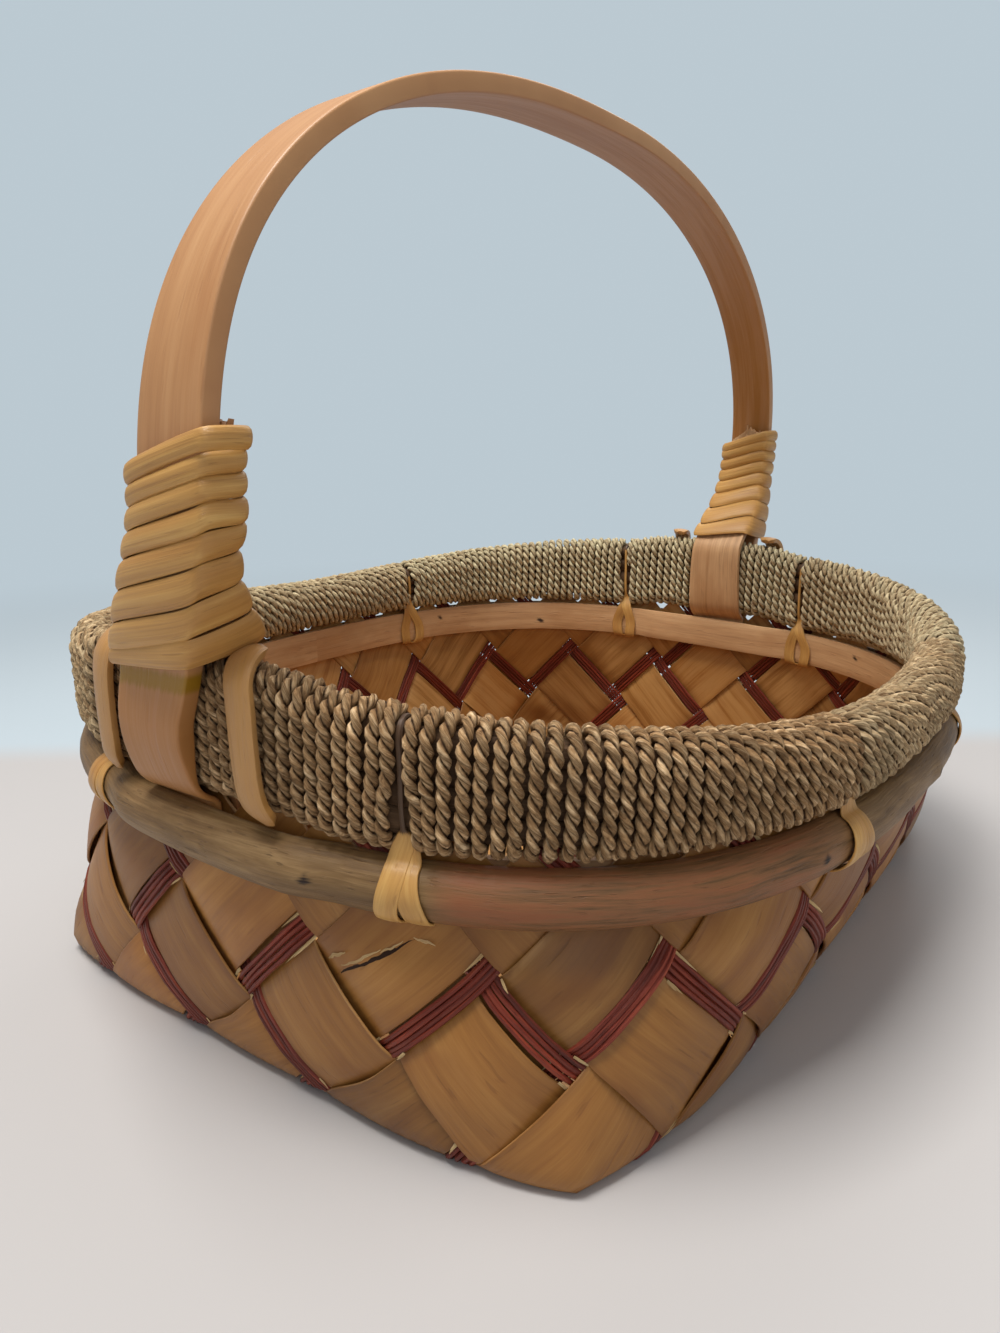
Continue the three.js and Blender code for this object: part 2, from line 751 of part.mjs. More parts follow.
function makeStrap() {
  const legSteps = 22;
  const archSteps = 36;
  const alongs = [];
  for (let i = 0; i < legSteps; i++) alongs.push(-1 + (i / legSteps) * (1 - springShare));
  for (let i = 0; i <= archSteps; i++) alongs.push(((2 * i) / archSteps - 1) * springShare);
  for (let i = legSteps - 1; i >= 0; i--) alongs.push(1 - (i / legSteps) * (1 - springShare));
  const sections = alongs.map((along) => {
    const centre = handlePoint(along);
    const before = handlePoint(Math.max(-1, along - 0.003));
    const after = handlePoint(Math.min(1, along + 0.003));
    const tangent = after.sub(before).normalize();
    const thickness = THREE.MathUtils.lerp(footThickness, strapThickness, footShare(centre.z));
    return strapSection(centre, tangent, strapWidth(Math.sign(along), centre.z), thickness);
  });
  return skin(sections);
}

function splintWidthAt(height) {
  const overRoll = THREE.MathUtils.smoothstep(height, hoopTop, rollTop);
  const wide = THREE.MathUtils.lerp(splintFootWidth, splintWidth, overRoll);
  const high = THREE.MathUtils.smoothstep(height, rollTop, wrapTop - 12);
  const tip = THREE.MathUtils.smoothstep(height, wrapTop - 6, wrapTop + splintTip);
  return THREE.MathUtils.lerp(THREE.MathUtils.lerp(wide, splintNarrowWidth, high), splintTipWidth, tip);
}

// The splint inside a leg, with its pointed tip above the wrap
function makeSplint(side) {
  const path = legSplints[side];
  const steps = 30;
  const sections = [];
  for (let i = 0; i <= steps; i++) {
    const t = i / steps;
    const centre = path.getPoint(t);
    const tip = THREE.MathUtils.smoothstep(centre.z, wrapTop - 6, wrapTop + splintTip);
    const bare = THREE.MathUtils.lerp(splintThickness, splintThickness * 0.5, tip);
    const thickness = THREE.MathUtils.lerp(footThickness, bare, footShare(centre.z));
    sections.push(strapSection(centre, path.getTangent(t), splintWidthAt(centre.z), thickness));
  }
  return skin(sections);
}

// Wrap: a flat skein wound down a leg, round the strap and the splint inside it. Corner k
// of 8 round both, at a height and a distance off them.
const wrapCorners = 8;
const wrapPitch = (wrapHeight + wrapGap) / (wrapTurns + 1);
const skeinWidth = wrapPitch - wrapGap;
let leastWrapGap = Infinity;

function legFace(pieceAt, side, height, thickness) {
  const below = pieceAt(side, height - 3);
  const above = pieceAt(side, height + 3);
  const slope = (above.y - below.y) / (above.z - below.z);
  const middle = pieceAt(side, height);
  return side * middle.y + (thickness / 2) * Math.hypot(1, slope);
}

function wrapPoint(side, corner, middle, off) {
  const wayAcross = [0.5, 0.45, -0.45, -0.5][corner % 4];
  const wayOut = [0.45, 0.5, 0.5, 0.45][corner % 4];
  const half = corner % wrapCorners < 4 ? 1 : -1;
  const height = middle + half * (wrapRise * wayAcross - wrapTilt * wayOut);
  const clear = wrapSeat + off;
  const outFace = legFace(strapAt, side, height, strapThickness) + clear;
  const inFace = legFace(splintAt, side, height, -splintThickness) - clear;
  const halfDepth = (outFace - inFace) / 2;
  const lean = (strapAt(side, height + 3).x - strapAt(side, height - 3).x) / 6;
  const width = Math.max(strapWidth(side, height), splintWidthAt(height));
  const halfWidth = (width / 2) * Math.hypot(1, lean) + clear;
  const cut = 2 + off / 2;
  const wide = [halfWidth, halfWidth - cut, cut - halfWidth, -halfWidth];
  const deep = [halfDepth - cut, halfDepth, halfDepth, halfDepth - cut];
  const k = corner % 4;
  const x = strapAt(side, height).x + half * wide[k];
  return new THREE.Vector3(x, side * ((outFace + inFace) / 2 + half * deep[k]), height);
}

function makeWrap(side) {
  const half = skeinWidth / 2;
  const sections = [];
  for (let i = 0; i <= wrapTurns * wrapCorners; i++) {
    const height = wrapTop - half - (i / wrapCorners) * wrapPitch;
    sections.push([
      wrapPoint(side, i, height - half, 0),
      wrapPoint(side, i, height - half * 0.85, skeinThickness),
      wrapPoint(side, i, height + half * 0.85, skeinThickness),
      wrapPoint(side, i, height + half, 0),
    ]);
  }
  leastWrapGap = Math.min(leastWrapGap, selfGap(sections, wrapCorners));
  return skin(sections);
}

// A band across the rim: over the roll and down both sides of it
function makeBand(places) {
  // each place is the middle's angle, its point on a cross-section and its outward
  // direction there, with the band's width and thickness
  const sections = places.map(({ angle, out, up, normal, width, thickness }) => {
    const reach = lengthAt(angle);
    const before = angleAt(reach - width / 2);
    const after = angleAt(reach + width / 2);
    const [no, nu] = normal;
    return [
      rimPoint(before, out, up),
      rimPoint(after, out, up),
      rimPoint(after, out + no * thickness, up + nu * thickness),
      rimPoint(before, out + no * thickness, up + nu * thickness),
    ];
  });
  return skin(sections);
}

// A place on a band that goes round the roll, at an angle of the roll's cross-section. Half
// says whether it lies on the upper or the lower round of the section.
function onRoll(angle, degrees, half, off, width, thickness) {
  const a = THREE.MathUtils.degToRad(degrees);
  const w = coreHalfWidth(angle);
  const straight = half * (coreHalfHeight(angle) - w);
  const radius = (w + off) * 1.07;
  const up = rollHeight(angle) + straight + radius * Math.sin(a);
  const normal = [Math.cos(a), Math.sin(a)];
  return { angle, out: radius * Math.cos(a), up, normal, width, thickness };
}

const roundRollPlaces = [[-35, -1], [0, -1], [0, 1], [30, 1], [60, 1], [90, 1], [120, 1]];
roundRollPlaces.push([150, 1], [180, 1], [180, -1], [215, -1]);

// Tie: over the core between two runs of cord, then down both hoops to the wall
function makeTie(angle) {
  const over = roundRollPlaces.map(([degrees, half]) => {
    return onRoll(angle, degrees, half, rollSeat, tieWidth, tieThickness);
  });
  const wall = wallHalf + fitGap;
  const middle = hoopTop - hoopHeight / 2;
  const at = (out, up, normal, width) => {
    return { angle, out, up, normal, width, thickness: tieThickness };
  };
  const r = hoopHeight / 2 + tieSeat;
  const depth = outerHoopDepth + tieSeat;
  const outside = hoopArc.slice(1, -1).map((a) => {
    const normal = [Math.cos(a), Math.sin(a)];
    const spread = THREE.MathUtils.lerp(tieWidth, tieSplay, Math.cos(a));
    return at(wall + depth * normal[0], middle + r * normal[1], normal, spread);
  });
  outside.push(at(wall + fitGap, middle - r - 0.6, [0.3, -1], tieWidth));
  const face = wall + innerHoopDepth + tieSeat;
  const inside = [
    at(-face, hoopTop + 0.2, [-1, 0.2], tieWidth * 1.2),
    at(-face, middle, [-1, 0], tieSplay * 0.8),
    at(-face, middle - hoopHeight / 2 + 0.3, [-1, -0.3], tieWidth * 1.2),
    at(-wall - fitGap, middle - r - 0.9, [-0.3, -1], tieWidth),
  ];
  return makeBand([...outside.reverse(), ...over, ...inside]);
}

// Lashing: a strand from the wrap over the outside of the roll, slanting away from the leg
function makeLashing(topAngle, bottomAngle) {
  const places = [[128, 1], [105, 1], [80, 1], [55, 1], [30, 1], [0, 1], [0, -1], [-25, -1], [-48, -1]];
  const off = cordSeat + cordHeight + rollSeat;
  return makeBand(
    places.map(([degrees, half], i) => {
      const angle = THREE.MathUtils.lerp(topAngle, bottomAngle, i / (places.length - 1));
      return onRoll(angle, degrees, half, off, lashingWidth, lashingThickness);
    }),
  );
}

add("woven_body", makeBody(), colours.splint);
add("outer_hoop", makeOuterHoop(), colours.hoop);
add("inner_hoop", makeInnerHoop(), colours.hoop);
add("rim_core_upper", makeCore(1), colours.hoop);
add("rim_core_lower", makeCore(-1), colours.hoop);
tieAngles.forEach((angle, i) => {
  const next = i + 1 < tieAngles.length ? tieAngles[i + 1] : tieAngles[0] + turn;
  add("rim_winding_" + (i + 1), makeWinding(angle, next), colours.cord, 0.9);
  add("tie_" + (i + 1), makeTie(angle), colours.skein);
});
add("handle_strap", makeStrap(), colours.bentwood);
add("splint_near", makeSplint(-1), colours.bentwood);
add("splint_far", makeSplint(1), colours.bentwood);
add("wrap_near", makeWrap(-1), colours.skein);
add("wrap_far", makeWrap(1), colours.skein);
for (const [name, degrees] of Object.entries(lashings)) {
  const [top, bottom] = degrees.map(THREE.MathUtils.degToRad);
  add("lashing_" + name, makeLashing(top, bottom), colours.skein);
}

console.log("rim winding, least gap between turns " + leastWindingGap.toFixed(2) + " mm");
console.log("handle wraps, least gap between turns " + leastWrapGap.toFixed(2) + " mm");

export default basket;
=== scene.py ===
# A chip-wood market basket: plaited splints with red strands between them, two hoops, a rim
# roll wound with twisted seagrass cord, and a bentwood handle bound on with split skein.
import math
import bpy
import numpy as np
from mathutils import Matrix, Vector


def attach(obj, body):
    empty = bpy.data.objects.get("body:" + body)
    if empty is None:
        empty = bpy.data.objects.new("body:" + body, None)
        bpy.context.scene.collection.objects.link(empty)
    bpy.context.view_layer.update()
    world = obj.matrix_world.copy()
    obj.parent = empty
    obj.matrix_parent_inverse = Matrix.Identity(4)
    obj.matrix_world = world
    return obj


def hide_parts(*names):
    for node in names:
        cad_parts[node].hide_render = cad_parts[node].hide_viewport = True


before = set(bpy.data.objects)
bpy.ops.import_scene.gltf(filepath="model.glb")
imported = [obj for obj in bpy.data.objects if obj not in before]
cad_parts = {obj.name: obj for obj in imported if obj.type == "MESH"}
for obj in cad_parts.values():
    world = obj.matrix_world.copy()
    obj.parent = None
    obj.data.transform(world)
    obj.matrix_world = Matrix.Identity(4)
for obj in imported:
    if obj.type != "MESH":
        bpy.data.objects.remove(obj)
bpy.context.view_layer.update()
print("frame loaded:", len(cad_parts), "nodes")

mm = 0.001  # everything below is worked out in millimetres and made in metres
turn = 2 * math.pi


def mix(a, b, share):
    return a + (b - a) * share


def smooth(x, low, high):
    x = np.clip((np.asarray(x, float) - low) / (high - low), 0, 1)
    return x * x * (3 - 2 * x)


def ripple(x, seed, scale):  # a slow wander between -1 and 1 along a length
    phases = np.random.default_rng(seed).uniform(0, turn, 4)
    waves = zip((1, 2.3, 4.1, 7.7), phases, (0.5, 0.3, 0.15, 0.1))
    return sum(np.sin(x / scale * pace + phase) * size for pace, phase, size in waves)


def unit(rows):
    return rows / np.linalg.norm(rows, axis=-1, keepdims=True)


def runAlong(points):
    return np.concatenate([[0], np.cumsum(np.linalg.norm(np.diff(points, axis=0), axis=1))])


# Shader nodes, made and wired in one call
def feed(tree, socket, value):
    if hasattr(value, "is_output"):
        tree.links.new(value, socket)
    else:
        socket.default_value = (*value, 1) if socket.type == "RGBA" else value


def addNode(tree, kind, fed=(), **settings):
    node = tree.nodes.new("ShaderNode" + kind)
    for name, value in settings.items():
        setattr(node, name, value)
    for key, value in dict(fed).items():
        feed(tree, node.inputs[key], value)
    return node


def maths(tree, operation, a, b=0.0):
    return addNode(tree, "Math", {0: a, 1: b}, operation=operation).outputs[0]


def times(tree, a, b):
    return maths(tree, "MULTIPLY", a, b)


def plus(tree, a, b):
    return maths(tree, "ADD", a, b)


def between(tree, value, low, high):
    fed = {"Value": value, "From Min": low, "From Max": high}
    return addNode(tree, "MapRange", fed, interpolation_type="SMOOTHSTEP").outputs["Result"]


def blend(tree, share, a, b, way="MIX"):
    node = addNode(tree, "Mix", {0: share}, data_type="RGBA", blend_type=way)
    for socket, colour in zip([s for s in node.inputs if s.type == "RGBA"], (a, b)):
        feed(tree, socket, colour)
    return [s for s in node.outputs if s.type == "RGBA"][0]


def attribute(tree, name):
    return addNode(tree, "Attribute", attribute_name=name).outputs["Fac"]


# Studio: camera, floor, room, lamps
studio = {
    "cameraAt": (0.2650, -0.4070, 0.2248),
    "yaw": 0.637,
    "pitch": 0.232,
    "roll": -0.018,
    "focal": 931.561,  # pixels
    "imageHeight": 1333,
    "floorColour": (0.52, 0.505, 0.50),
    "roomColour": (0.50, 0.585, 0.64),
    "roomFrom": (0.175, 0.235),  # metres beyond the basket, where the floor takes the room's colour
    "glowFrom": (0.55, 1.5),  # metres from the basket, where it takes the room's light
    "skyColour": (0.97, 0.98, 1.0),
    "skyLight": 0.34,
    # name, place, height of its target, size, power, colour
    "lamps": [
        ("keyLamp", (-0.12, -0.38, 1.65), 0.1, 0.75, 29, (1.0, 0.97, 0.93)),
        ("fillLamp", (1.2, -1.1, 1.1), 0.12, 1.2, 4, (0.98, 0.98, 1.0)),
        ("backLamp", (-0.4, 1.4, 1.4), 0.2, 1.2, 9, (1.0, 0.98, 0.95)),
    ],
}


def aimCamera():
    yaw, pitch, roll = studio["yaw"], studio["pitch"], studio["roll"]
    flat = math.cos(pitch)
    back = Vector((math.sin(yaw) * flat, -math.cos(yaw) * flat, math.sin(pitch)))
    right = Vector((math.cos(yaw), math.sin(yaw), 0))
    up = back.cross(right)
    side = right * math.cos(roll) + up * math.sin(roll)
    top = up * math.cos(roll) - right * math.sin(roll)
    bpy.ops.object.camera_add(location=studio["cameraAt"])
    camera = bpy.context.object
    camera.name = "camera"
    turned = Matrix((side, top, back)).transposed().to_4x4()
    camera.matrix_world = Matrix.Translation(studio["cameraAt"]) @ turned
    camera.data.sensor_fit = "AUTO"
    camera.data.sensor_width = 36
    camera.data.lens = studio["focal"] / studio["imageHeight"] * 36
    camera.data.clip_start = 0.01
    bpy.context.scene.camera = camera


def makeFloor():
    bpy.ops.object.select_all(action="DESELECT")
    bpy.ops.mesh.primitive_plane_add(size=14)
    floor = bpy.context.object
    floor.name = "floor"
    material = bpy.data.materials.new("paleFloor")
    material.use_nodes = True
    tree = material.node_tree
    shader = tree.nodes["Principled BSDF"]
    shader.inputs["Roughness"].default_value = 0.5
    # away from the camera the floor turns into the room: first its colour, then its light
    place = addNode(tree, "TexCoord").outputs["Object"]
    ahead = (-math.sin(studio["yaw"]), math.cos(studio["yaw"]), 0)
    beyond = addNode(tree, "VectorMath", {0: place, 1: ahead}, operation="DOT_PRODUCT")
    away = addNode(tree, "VectorMath", {0: place}, operation="LENGTH")
    share = between(tree, beyond.outputs["Value"], *studio["roomFrom"])
    colour = blend(tree, share, studio["floorColour"], studio["roomColour"])
    feed(tree, shader.inputs["Base Color"], colour)
    glow = addNode(tree, "Emission", {"Color": studio["roomColour"]})
    share = between(tree, away.outputs["Value"], *studio["glowFrom"])
    fade = addNode(tree, "MixShader", {0: share, 1: shader.outputs[0], 2: glow.outputs[0]})
    feed(tree, tree.nodes["Material Output"].inputs["Surface"], fade.outputs[0])
    floor.data.materials.append(material)


def makeRoom():
    world = bpy.data.worlds.new("softRoom")
    bpy.context.scene.world = world
    world.use_nodes = True
    tree = world.node_tree
    tree.nodes.clear()
    rays = addNode(tree, "LightPath").outputs["Is Camera Ray"]
    light = addNode(tree, "Background", {"Color": studio["skyColour"], "Strength": studio["skyLight"]})
    seen = addNode(tree, "Background", {"Color": studio["roomColour"], "Strength": 1.0})
    choose = addNode(tree, "MixShader", {0: rays, 1: light.outputs[0], 2: seen.outputs[0]})
    addNode(tree, "OutputWorld", {"Surface": choose.outputs[0]})
    for name, at, height, size, power, colour in studio["lamps"]:
        bpy.ops.object.light_add(type="AREA", location=at)
        lamp = bpy.context.object
        lamp.name = name
        lamp.data.size = size
        lamp.data.energy = power
        lamp.data.color = colour
        lamp.rotation_euler = (Vector((0, 0, height)) - Vector(at)).to_track_quat("-Z", "Y").to_euler()


aimCamera()
makeFloor()
makeRoom()
bpy.context.scene.view_settings.view_transform = "Standard"
print("studio ready")

# Shapes that the pieces share
shape = {
    "centreY": -6.0,
    "baseHalfX": 154.0,
    "baseHalfY": 209.0,
    "baseSquareness": 7.0,  # 2 is an ellipse, and more is squarer
    "rimHalfX": 179.0,
    "rimHalfY": 211.0,
    "rimSquareness": 2.65,
    "wallBulge": 1.5,
    "rimDrop": 8.0,
    "hoopTop": 105.0,
    "hoopHeight": 20.0,
    "clampBottom": 83.0,
    "legSwell": (10.5, 16.0),  # degrees from a leg: where the rim stops bulging round it
}


# A rounded oblong: the place in a direction on it, and the way that it faces there
def outline(halfX, halfY, squareness, angle):
    x, y = np.cos(angle), np.sin(angle)
    radius = (np.abs(x / halfX) ** squareness + np.abs(y / halfY) ** squareness) ** (-1 / squareness)
    x, y = radius * x, radius * y
    nx = np.sign(x) * np.abs(x / halfX) ** (squareness - 1) / halfX
    ny = np.sign(y) * np.abs(y / halfY) ** (squareness - 1) / halfY
    size = np.hypot(nx, ny)
    return x, y, nx / size, ny / size


def leanAt(x):
    return -shape["rimDrop"] * x / shape["rimHalfX"]


def rimOutline(angle):
    return outline(shape["rimHalfX"], shape["rimHalfY"], shape["rimSquareness"], angle)


# A place by its direction, how far it is outside the rim's line, and its height before
# the rim leans
def rimPlace(angle, out, height):
    angle, out, height = np.broadcast_arrays(*(np.asarray(v, float) for v in (angle, out, height)))
    x, y, nx, ny = rimOutline(angle)
    return np.stack([x + nx * out, shape["centreY"] + y + ny * out, height + leanAt(x)], -1)


rimSteps = np.linspace(0, turn, 2881)
rimLengths = runAlong(np.stack(rimOutline(rimSteps)[:2], -1))
rimLength = rimLengths[-1]


def lengthAt(angle):
    return np.floor(angle / turn) * rimLength + np.interp(np.mod(angle, turn), rimSteps, rimLengths)


def angleAt(length):
    place = np.mod(length, rimLength)
    return np.floor(length / rimLength) * turn + np.interp(place, rimLengths, rimSteps)


def legSwell(angle):  # 1 on a leg of the handle, falling to 0 along the rim
    away = np.arccos(np.minimum(1, np.abs(np.sin(angle))))
    return 1 - smooth(away, *map(math.radians, shape["legSwell"]))


# Mesh making
def setPaint(piece, name, values):
    data = piece.data
    layer = data.attributes.get(name) or data.attributes.new(name, "FLOAT", "POINT")
    layer.data.foreach_set("value", np.broadcast_to(values, len(data.vertices)).astype(np.float32))


def placePoints(mesh, points):
    mesh.vertices.foreach_set("co", (points * mm).astype(np.float32).ravel())


def readPoints(piece):  # where the points are and where they face
    points = piece.data.vertices
    return np.array([v.co for v in points]) / mm, np.array([v.normal for v in points])


def pick(piece):
    bpy.ops.object.select_all(action="DESELECT")
    piece.select_set(True)
    bpy.context.view_layer.objects.active = piece


def turnOut(piece):
    pick(piece)
    bpy.ops.object.mode_set(mode="EDIT")
    bpy.ops.mesh.select_all(action="SELECT")
    bpy.ops.mesh.normals_make_consistent(inside=False)
    bpy.ops.object.mode_set(mode="OBJECT")


def joinPieces(name, pieces):
    pick(pieces[0])
    for piece in pieces:
        piece.select_set(True)
    bpy.ops.object.join()
    joined = bpy.context.object
    joined.name = joined.data.name = name
    return joined


# Rings round a line: around is their angles, wide and deep their sizes to the side and up
def ringsRound(centre, side, up, around, wide, deep):
    sideways = side[:, None] * (np.cos(around) * wide)[..., None]
    return centre[:, None] + sideways + up[:, None] * (np.sin(around) * deep)[..., None]


# Tubes in one piece. Each is its rings of points, the run along it, its fibre map's places
# round it, and its tone; all are closed by end faces, or each into a ring.
def tubePiece(name, tubes, ringed=False):
    points, quads, ends, uvs, tones = [], [], [], [], []
    first = 0
    for rings, along, around, tone in tubes:
        steps, sides = rings.shape[:2]
        points.append(rings.reshape(-1, 3))
        r, c = np.meshgrid(np.arange(steps - (not ringed)), np.arange(sides), indexing="ij")
        r2, c2 = (r + 1) % steps, (c + 1) % sides
        corners = [r * sides + c, r2 * sides + c, r2 * sides + c2, r * sides + c2]
        quads.append(np.stack(corners, -1).reshape(-1, 4) + first)
        if not ringed:
            ends += [first + np.arange(sides)[::-1], first + (steps - 1) * sides + np.arange(sides)]
        uvs.append(np.stack(np.broadcast_arrays(along[:, None] * mm, around[None]), -1).reshape(-1, 2))
        tones.append(np.broadcast_to(np.reshape(tone, (-1, 1)), (steps, sides)).ravel())
        first += steps * sides
    quads = np.concatenate(quads)
    loops = np.concatenate([quads.ravel(), *ends])
    totals = [4] * len(quads) + [len(end) for end in ends]
    mesh = bpy.data.meshes.new(name)
    mesh.vertices.add(first)
    placePoints(mesh, np.concatenate(points))
    mesh.loops.add(len(loops))
    mesh.loops.foreach_set("vertex_index", loops.astype(np.int32))
    mesh.polygons.add(len(totals))
    mesh.polygons.foreach_set("loop_start", np.cumsum([0] + totals[:-1]).astype(np.int32))
    mesh.polygons.foreach_set("loop_total", np.array(totals, np.int32))
    mesh.update(calc_edges=True)
    layer = mesh.uv_layers.new(name="fibre")
    layer.data.foreach_set("uv", np.concatenate(uvs)[loops].astype(np.float32).ravel())
    mesh.validate()
    piece = bpy.data.objects.new(name, mesh)
    bpy.context.scene.collection.objects.link(piece)
    setPaint(piece, "tone", np.concatenate(tones))
    turnOut(piece)
    return piece


# A flat strip of stock, cut as a grid and then bent to its place. bend takes the shares
# along and across and gives points; the map keeps the real lengths for the grain.
def bentStrip(name, steps, columns, bend, length, width, tone=0.5):
    bpy.ops.object.select_all(action="DESELECT")
    bpy.ops.mesh.primitive_grid_add(x_subdivisions=steps, y_subdivisions=columns, size=1, calc_uvs=True)
    piece = bpy.context.object
    piece.name = piece.data.name = name
    flat = np.array([v.co for v in piece.data.vertices], float)
    placePoints(piece.data, bend(flat[:, 0] + 0.5, flat[:, 1]))
    layer = piece.data.uv_layers.active
    layer.name = "fibre"
    uv = np.zeros(len(piece.data.loops) * 2, np.float32)
    layer.data.foreach_get("uv", uv)
    uv = uv.reshape(-1, 2) * [length * mm, width * mm]
    layer.data.foreach_set("uv", uv.astype(np.float32).ravel())
    setPaint(piece, "tone", tone)
    return piece


def thicken(piece, thickness, edge, segments=2, shares=None):
    solid = piece.modifiers.new("body", "SOLIDIFY")
    solid.thickness = thickness * mm
    solid.offset = 0
    if shares is not None:
        group = piece.vertex_groups.new(name="full")
        for i, share in enumerate(shares):
            group.add([i], float(share), "REPLACE")
        solid.vertex_group = "full"
    bevel = piece.modifiers.new("edge", "BEVEL")
    bevel.width = edge * mm
    bevel.segments = segments
    bevel.limit_method = "ANGLE"
    bevel.angle_limit = math.radians(50)
    pick(piece)
    for name in ("body", "edge"):
        bpy.ops.object.modifier_apply(modifier=name)
    turnOut(piece)


# Materials: one grain pattern, read along each piece's own fibre map, in several woods.
# along and across are the grain's scale, spread is how much the strips differ, the two
# overlay colours are real tints, knots and stains, and also painted light and painted shade on some
# pieces; edge is the width of a strip whose sides get painted shade and a worn pale rim.
looks = {
    "splintWood": {
        "dark": (0.165, 0.058, 0.011), "middle": (0.33, 0.142, 0.03), "light": (0.47, 0.24, 0.064),
        "contrast": 0.34, "stain": (0.225, 0.08, 0.016), "staining": 0.7, "along": 12, "across": 420,
        "depth": 0.00012, "roughness": 0.46, "shine": 0.5, "spread": 0.7,
        "tintAndShading": (0.54, 0.3, 0.105), "edge": 0.0376, "edgeColour": (0.42, 0.27, 0.12),
    },
    "redStrand": {
        "dark": (0.042, 0.007, 0.004), "middle": (0.185, 0.026, 0.012), "light": (0.33, 0.065, 0.026),
        "contrast": 0.2, "stain": (0.07, 0.01, 0.006), "staining": 0.4, "along": 30, "across": 1500,
        "depth": 0.0002, "roughness": 0.5, "shine": 0.4, "spread": 0.6,
    },
    "paleFray": {
        "dark": (0.34, 0.2, 0.08), "middle": (0.55, 0.39, 0.19), "light": (0.72, 0.57, 0.33),
        "contrast": 0.2, "stain": (0.4, 0.2, 0.08), "staining": 0.3, "along": 60, "across": 1500,
        "depth": 0.0001, "roughness": 0.7, "shine": 0.2, "spread": 0.3, "markAndShade": (0.03, 0.014, 0.008),
    },
    "hoopWood": {
        "dark": (0.09, 0.045, 0.016), "middle": (0.215, 0.122, 0.047), "light": (0.34, 0.215, 0.095),
        "contrast": 0.17, "stain": (0.15, 0.083, 0.03), "staining": 0.5, "along": 24, "across": 620,
        "depth": 0.0004, "roughness": 0.5, "shine": 0.4, "spread": 0.1,
        "markAndShade": (0.02, 0.01, 0.006), "tintAndShading": (0.275, 0.098, 0.038),
    },
    # the inner hoop's wood: paler than the outer hoop's, and lighter still as painted light for the inside
    # of the basket; the far leg's splint wears it too
    "innerHoopLitWood": {
        "dark": (0.36, 0.19, 0.085), "middle": (0.6, 0.355, 0.175), "light": (0.72, 0.48, 0.26),
        "contrast": 0.26, "stain": (0.4, 0.19, 0.07), "staining": 0.5, "along": 12, "across": 620,
        "depth": 0.0002, "roughness": 0.52, "shine": 0.4, "spread": 0.1, "markAndShade": (0.035, 0.018, 0.012),
    },
    "coreRod": {
        "dark": (0.04, 0.02, 0.01), "middle": (0.14, 0.08, 0.042), "light": (0.26, 0.15, 0.08),
        "contrast": 0.2, "stain": (0.06, 0.03, 0.015), "staining": 0.5, "along": 25, "across": 900,
        "depth": 0.0003, "roughness": 0.7, "shine": 0.2, "spread": 0.3,
    },
    "bentWood": {
        "dark": (0.37, 0.165, 0.064), "middle": (0.5, 0.252, 0.105), "light": (0.6, 0.335, 0.155),
        "contrast": 0.28, "stain": (0.4, 0.17, 0.06), "staining": 0.5, "along": 8, "across": 420,
        "depth": 0.00012, "roughness": 0.45, "shine": 0.5, "spread": 0.08,
        "markAndShade": (0.3, 0.15, 0.006), "tintAndShading": (0.37, 0.15, 0.032),
    },
    "skein": {
        "dark": (0.33, 0.152, 0.042), "middle": (0.56, 0.3, 0.084), "light": (0.74, 0.46, 0.15),
        "contrast": 0.24, "stain": (0.44, 0.2, 0.05), "staining": 0.6, "along": 20, "across": 800,
        "depth": 0.0002, "roughness": 0.42, "shine": 0.5, "spread": 0.28,
        "markAndShade": (0.085, 0.045, 0.022), "tintAndShading": (0.42, 0.215, 0.085),
    },
    "seagrass": {
        "dark": (0.14, 0.068, 0.027), "middle": (0.47, 0.285, 0.135), "light": (0.84, 0.61, 0.36),
        "contrast": 0.14, "stain": (0.25, 0.14, 0.06), "staining": 0.6, "along": 150, "across": 1100,
        "depth": 0.0009, "roughness": 0.75, "shine": 0.22, "spread": 0.4,
        "markAndShade": (0.052, 0.026, 0.012), "tintAndShading": (0.74, 0.66, 0.42),
    },
}


def makeGrain():
    tree = bpy.data.node_groups.new("fibreGrain", "ShaderNodeTree")
    for name in ("Place", "Tone", "Along", "Across"):
        kind = "NodeSocketVector" if name == "Place" else "NodeSocketFloat"
        tree.interface.new_socket(name=name, in_out="INPUT", socket_type=kind)
    for name in ("Streaks", "Fibres", "Blotches", "Pores"):
        tree.interface.new_socket(name=name, in_out="OUTPUT", socket_type="NodeSocketFloat")
    given = tree.nodes.new("NodeGroupInput").outputs
    result = tree.nodes.new("NodeGroupOutput").inputs
    u, v, _ = addNode(tree, "SeparateXYZ", {0: given["Place"]}).outputs
    seed = times(tree, given["Tone"], 41.0)

    def pattern(v, along, side, across, detail, roughness):
        x = times(tree, u, times(tree, given["Along"], along))
        y = times(tree, v, times(tree, given[side], across))
        place = addNode(tree, "CombineXYZ", {0: x, 1: y, 2: seed}).outputs[0]
        fed = {"Vector": place, "Scale": 1.0, "Detail": detail, "Roughness": roughness}
        return addNode(tree, "TexNoise", fed).outputs["Fac"]

    # the grain drifts a little sideways as it runs
    v = plus(tree, v, times(tree, pattern(v, 0.6, "Along", 1.5, 2.0, 0.55), 0.006))
    feed(tree, result["Streaks"], pattern(v, 1.0, "Across", 0.35, 4.0, 0.6))
    feed(tree, result["Fibres"], pattern(v, 2.5, "Across", 2.2, 3.0, 0.65))
    feed(tree, result["Blotches"], pattern(v, 1.4, "Along", 3.0, 3.0, 0.6))
    feed(tree, result["Pores"], between(tree, pattern(v, 6.0, "Across", 1.3, 1.0, 0.5), 0.66, 0.74))
    return tree


